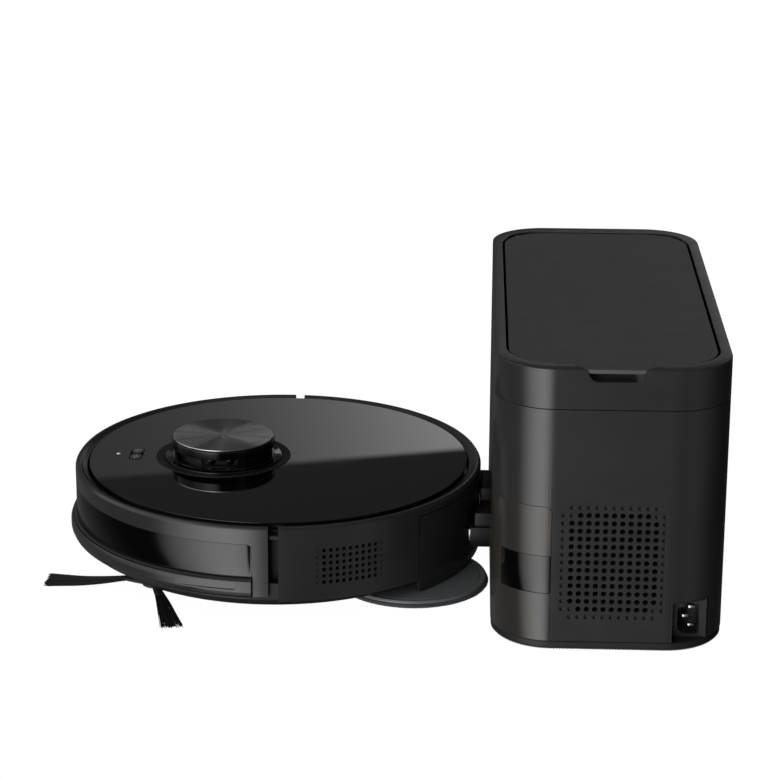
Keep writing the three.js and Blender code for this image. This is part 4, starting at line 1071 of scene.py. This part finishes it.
# ------------------------------------------------------------------ the rest: fine-edged copies of the CAD solids
def copy_of(node, name, width=0.4, seg=2, pleat=None):
    src = frame["nodes"][node]
    o = bpy.data.objects.new(name, src.data.copy())
    bpy.context.scene.collection.objects.link(o)
    if width:
        bevel(o, width, seg, angle=28)
    return part(o, node)


COPIES = {
    "top_deck": 0.3, "lidar_base": 0.4, "main_board": 0.15, "battery_pack": 1.2, "suction_fan": 0.8, "side_brush_motor": 0.8,
    "dust_bin": 0.4, "mop_gearbox": 0.6, "robot_contact_left": 0.4, "robot_contact_right": 0.4, "wheel_arm_left": 0.8,
    "wheel_arm_right": 0.8, "caster_fork": 0.5, "dock_fan": 0.8,
}
for node, w in COPIES.items():
    copy_of(node, node + "_fine", w)


def pleated(name, node, axis, n, depth=1.2, mat=None):
    lo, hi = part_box(node)
    lo, hi = (np.array(v) * 1000 + np.array([OX, 0, 0]) for v in (lo, hi))
    pts = []
    if axis == "x":  # pleats seen from +-Y, running along Z, outline in (x, y)
        for i in range(2 * n + 1):
            x = lo[0] + (hi[0] - lo[0]) * i / (2 * n)
            pts.append((x, lo[1] + (depth if i % 2 else 0)))
        for i in range(2 * n, -1, -1):
            x = lo[0] + (hi[0] - lo[0]) * i / (2 * n)
            pts.append((x, hi[1] - (0 if i % 2 else depth)))
    else:
        for i in range(2 * n + 1):
            y = lo[1] + (hi[1] - lo[1]) * i / (2 * n)
            pts.append((lo[0] + (depth if i % 2 else 0), y))
        for i in range(2 * n, -1, -1):
            y = lo[1] + (hi[1] - lo[1]) * i / (2 * n)
            pts.append((hi[0] - (0 if i % 2 else depth), y))
    return part(prism(name, pts, lo[2], hi[2]), node, angle=20, mat=mat)


pleated("bin_filter_pleats", "bin_filter", "y", 26)
pleated("exhaust_filter_pleats", "exhaust_filter", "x", 22, 2.0, mat="foam_dark")
left = set(frame["nodes"]) - REPLACED
for n in sorted(left):
    o = frame["nodes"][n]
    o.data.materials.clear()
    o.data.materials.append(MAT[SLOT[n]])

# ------------------------------------------------------------------ stage
fl = bpy.data.meshes.new("studio_floor")
fl.from_pydata([(-9, -9, -0.0002), (9, -9, -0.0002), (9, 9, -0.0002), (-9, 9, -0.0002)], [], [(0, 1, 2, 3)])
floor = bpy.data.objects.new("studio_floor", fl)
bpy.context.scene.collection.objects.link(floor)
fm = bpy.data.materials.new("studio_floor_white")
fm.use_nodes = True
t = Tree(fm.node_tree)
t.n.clear()
out = t.put("ShaderNodeOutputMaterial")
em = t.put("ShaderNodeEmission")
# painted contact shadow: the floor only emits and takes no real shadow, so its emission is dimmed where ambient
# occlusion finds the robot and dock close by
floor_contact_shadow_ao = t.put("ShaderNodeAmbientOcclusion", samples=8)
floor_contact_shadow_ao.inputs["Distance"].default_value = 0.05
sh = t.linear(floor_contact_shadow_ao.outputs["AO"], 0.0, 0.9, 0.985, 1.02)
t.link(sh, em.inputs["Strength"])
t.link(em.outputs[0], out.inputs["Surface"])
fl.materials.append(fm)
for att in ("visible_diffuse", "visible_glossy", "visible_transmission", "visible_shadow", "visible_volume_scatter"):
    setattr(floor, att, False)

world = bpy.data.worlds.new("studio")
bpy.context.scene.world = world
world.use_nodes = True
t = Tree(world.node_tree)
t.n.clear()
out = t.put("ShaderNodeOutputWorld")
co = t.put("ShaderNodeTexCoord").outputs["Generated"]
nrm = t.put("ShaderNodeVectorMath", operation="NORMALIZE")
t.link(co, nrm.inputs[0])
sp = t.put("ShaderNodeSeparateXYZ")
t.link(nrm.outputs[0], sp.inputs[0])
x, y, z = sp.outputs
DEG = 180 / math.pi
az = t.math("MULTIPLY", t.math("ARCTAN2", x, t.math("MULTIPLY", y, -1.0)), DEG)  # 0 toward -Y, + toward +X
azb = t.math("MULTIPLY", t.math("ARCTAN2", x, y), DEG)  # 0 toward +Y, + toward +X
el = t.math("MULTIPLY", t.math("ARCSINE", z), DEG)
# the big soft box in front and to the left, reaching below the floor line
front = t.curve(az, [(-180, 0.05), (-171, 0.06), (-160, 0.10), (-150, 0.125), (-129, 0.12), (-120, 0.105), (-112, 0.08), (-104, 0.05), (-96, 0.03), (-88, 0.01), (-71, 0.01),
                     (-66.5, 0.1), (-63, 0.63), (-55, 1.7), (-46, 2.7), (-38, 3.65), (-30, 4.3), (-21, 4.5), (-13, 3.5), (-9, 2.2), (-4, 0.3),
                     (0, 0.06), (30, 0.06), (45, 0.2), (60, 0.2), (75, 0.08), (95, 0.02), (130, 0.02), (180, 0.05)], -180, 180)
band = t.math("MULTIPLY", t.smooth(el, -75, -45), t.smooth(el, 52, 30))
e_front = t.math("MULTIPLY", front, band)
# the card behind, cut off by a slightly tilted upper edge
cutp = t.put("ShaderNodeVectorMath", operation="DOT_PRODUCT")
t.link(nrm.outputs[0], cutp.inputs[0])
cutp.inputs[1].default_value = (-0.09757494, 0.32582359, -0.9403819)
back = t.curve(azb, [(-60, 0.10), (-30, 0.12), (-8.3, 0.16), (-6.5, 0.21), (-5.3, 0.29), (-4.1, 0.45), (-2.8, 0.66), (-1.6, 0.92), (-0.3, 1.25),
                     (1.5, 1.5), (3.0, 1.2), (4.2, 0.05), (60, 0.02), (100, 0.02)], -60, 100)
edge = t.linear(cutp.outputs["Value"], -0.001, 0.001, 0.0, 1.0)
ahead = t.smooth(y, -0.05, 0.2)
e_back = t.math("MULTIPLY", t.math("MULTIPLY", back, edge), t.math("MULTIPLY", ahead, t.smooth(el, 17.0, 17.8)))
dark = t.math("MULTIPLY", t.math("SUBTRACT", 1.0, edge), 0.032)
# soft light overhead, and a weak card to the left above the horizon
top = t.math("MULTIPLY", t.smooth(el, 45, 80), 0.35)
left_card = t.math("MULTIPLY", t.math("MULTIPLY", t.smooth(az, -124, -112), t.smooth(az, -44, -62)),
                   t.math("MULTIPLY", t.smooth(el, 2, 10), t.smooth(el, 60, 45)))
low = t.math("MULTIPLY", t.math("MULTIPLY", t.linear(azb, 0.5, 8.0, 0.0, 0.42), t.smooth(azb, 45, 25)),
             t.math("MULTIPLY", t.math("MULTIPLY", t.smooth(el, 6, 11), t.smooth(el, 17.9, 17.3)), ahead))
e_back = t.math("ADD", e_back, low)
total = t.math("ADD", t.math("ADD", e_front, e_back), t.math("ADD", t.math("ADD", dark, top), t.math("MULTIPLY", left_card, 0.95)))
lp = t.put("ShaderNodeLightPath")
studio = t.put("ShaderNodeBackground")
t.link(total, studio.inputs["Strength"])
white = t.put("ShaderNodeBackground")
white.inputs["Strength"].default_value = 1.0
white.inputs["Color"].default_value = (1, 1, 1, 1)
mx = t.put("ShaderNodeMixShader")
t.link(lp.outputs["Is Camera Ray"], mx.inputs[0])
t.link(studio.outputs[0], mx.inputs[1])
t.link(white.outputs[0], mx.inputs[2])
t.link(mx.outputs[0], out.inputs["Surface"])


def area(name, loc, target, size, power):
    d = bpy.data.lights.new(name, "AREA")
    d.energy = power
    d.size = size
    d.color = (1, 1, 1)
    o = bpy.data.objects.new(name, d)
    bpy.context.scene.collection.objects.link(o)
    o.location = loc
    o.rotation_euler = (Vector(target) - Vector(loc)).to_track_quat("-Z", "Y").to_euler()
    o.visible_glossy = False
    return o


area("soft_top", (-0.2, -0.2, 2.2), (0, 0, 0), 2.0, 3.0)

cam_d = bpy.data.cameras.new("camera")
cam = bpy.data.objects.new("camera", cam_d)
bpy.context.scene.collection.objects.link(cam)
fwd = Vector((-0.04846, 0.95070, -0.30630)).normalized()
right = Vector((0.9987, 0.0509, 0.0)).normalized()
up = right.cross(fwd).normalized()
rot = Matrix((right, up, -fwd)).transposed()
cam.matrix_world = Matrix.Translation(P(159.5, -2128.4, 828.8)) @ rot.to_4x4()
cam_d.sensor_width = 36
cam_d.lens = 120.83
cam_d.shift_x = 52.5 / 780
cam_d.shift_y = -0.4 / 780
cam_d.clip_start = 0.05
cam_d.clip_end = 50
bpy.context.scene.camera = cam
bpy.context.scene.view_settings.view_transform = "Standard"
bpy.context.scene.view_settings.look = "None"
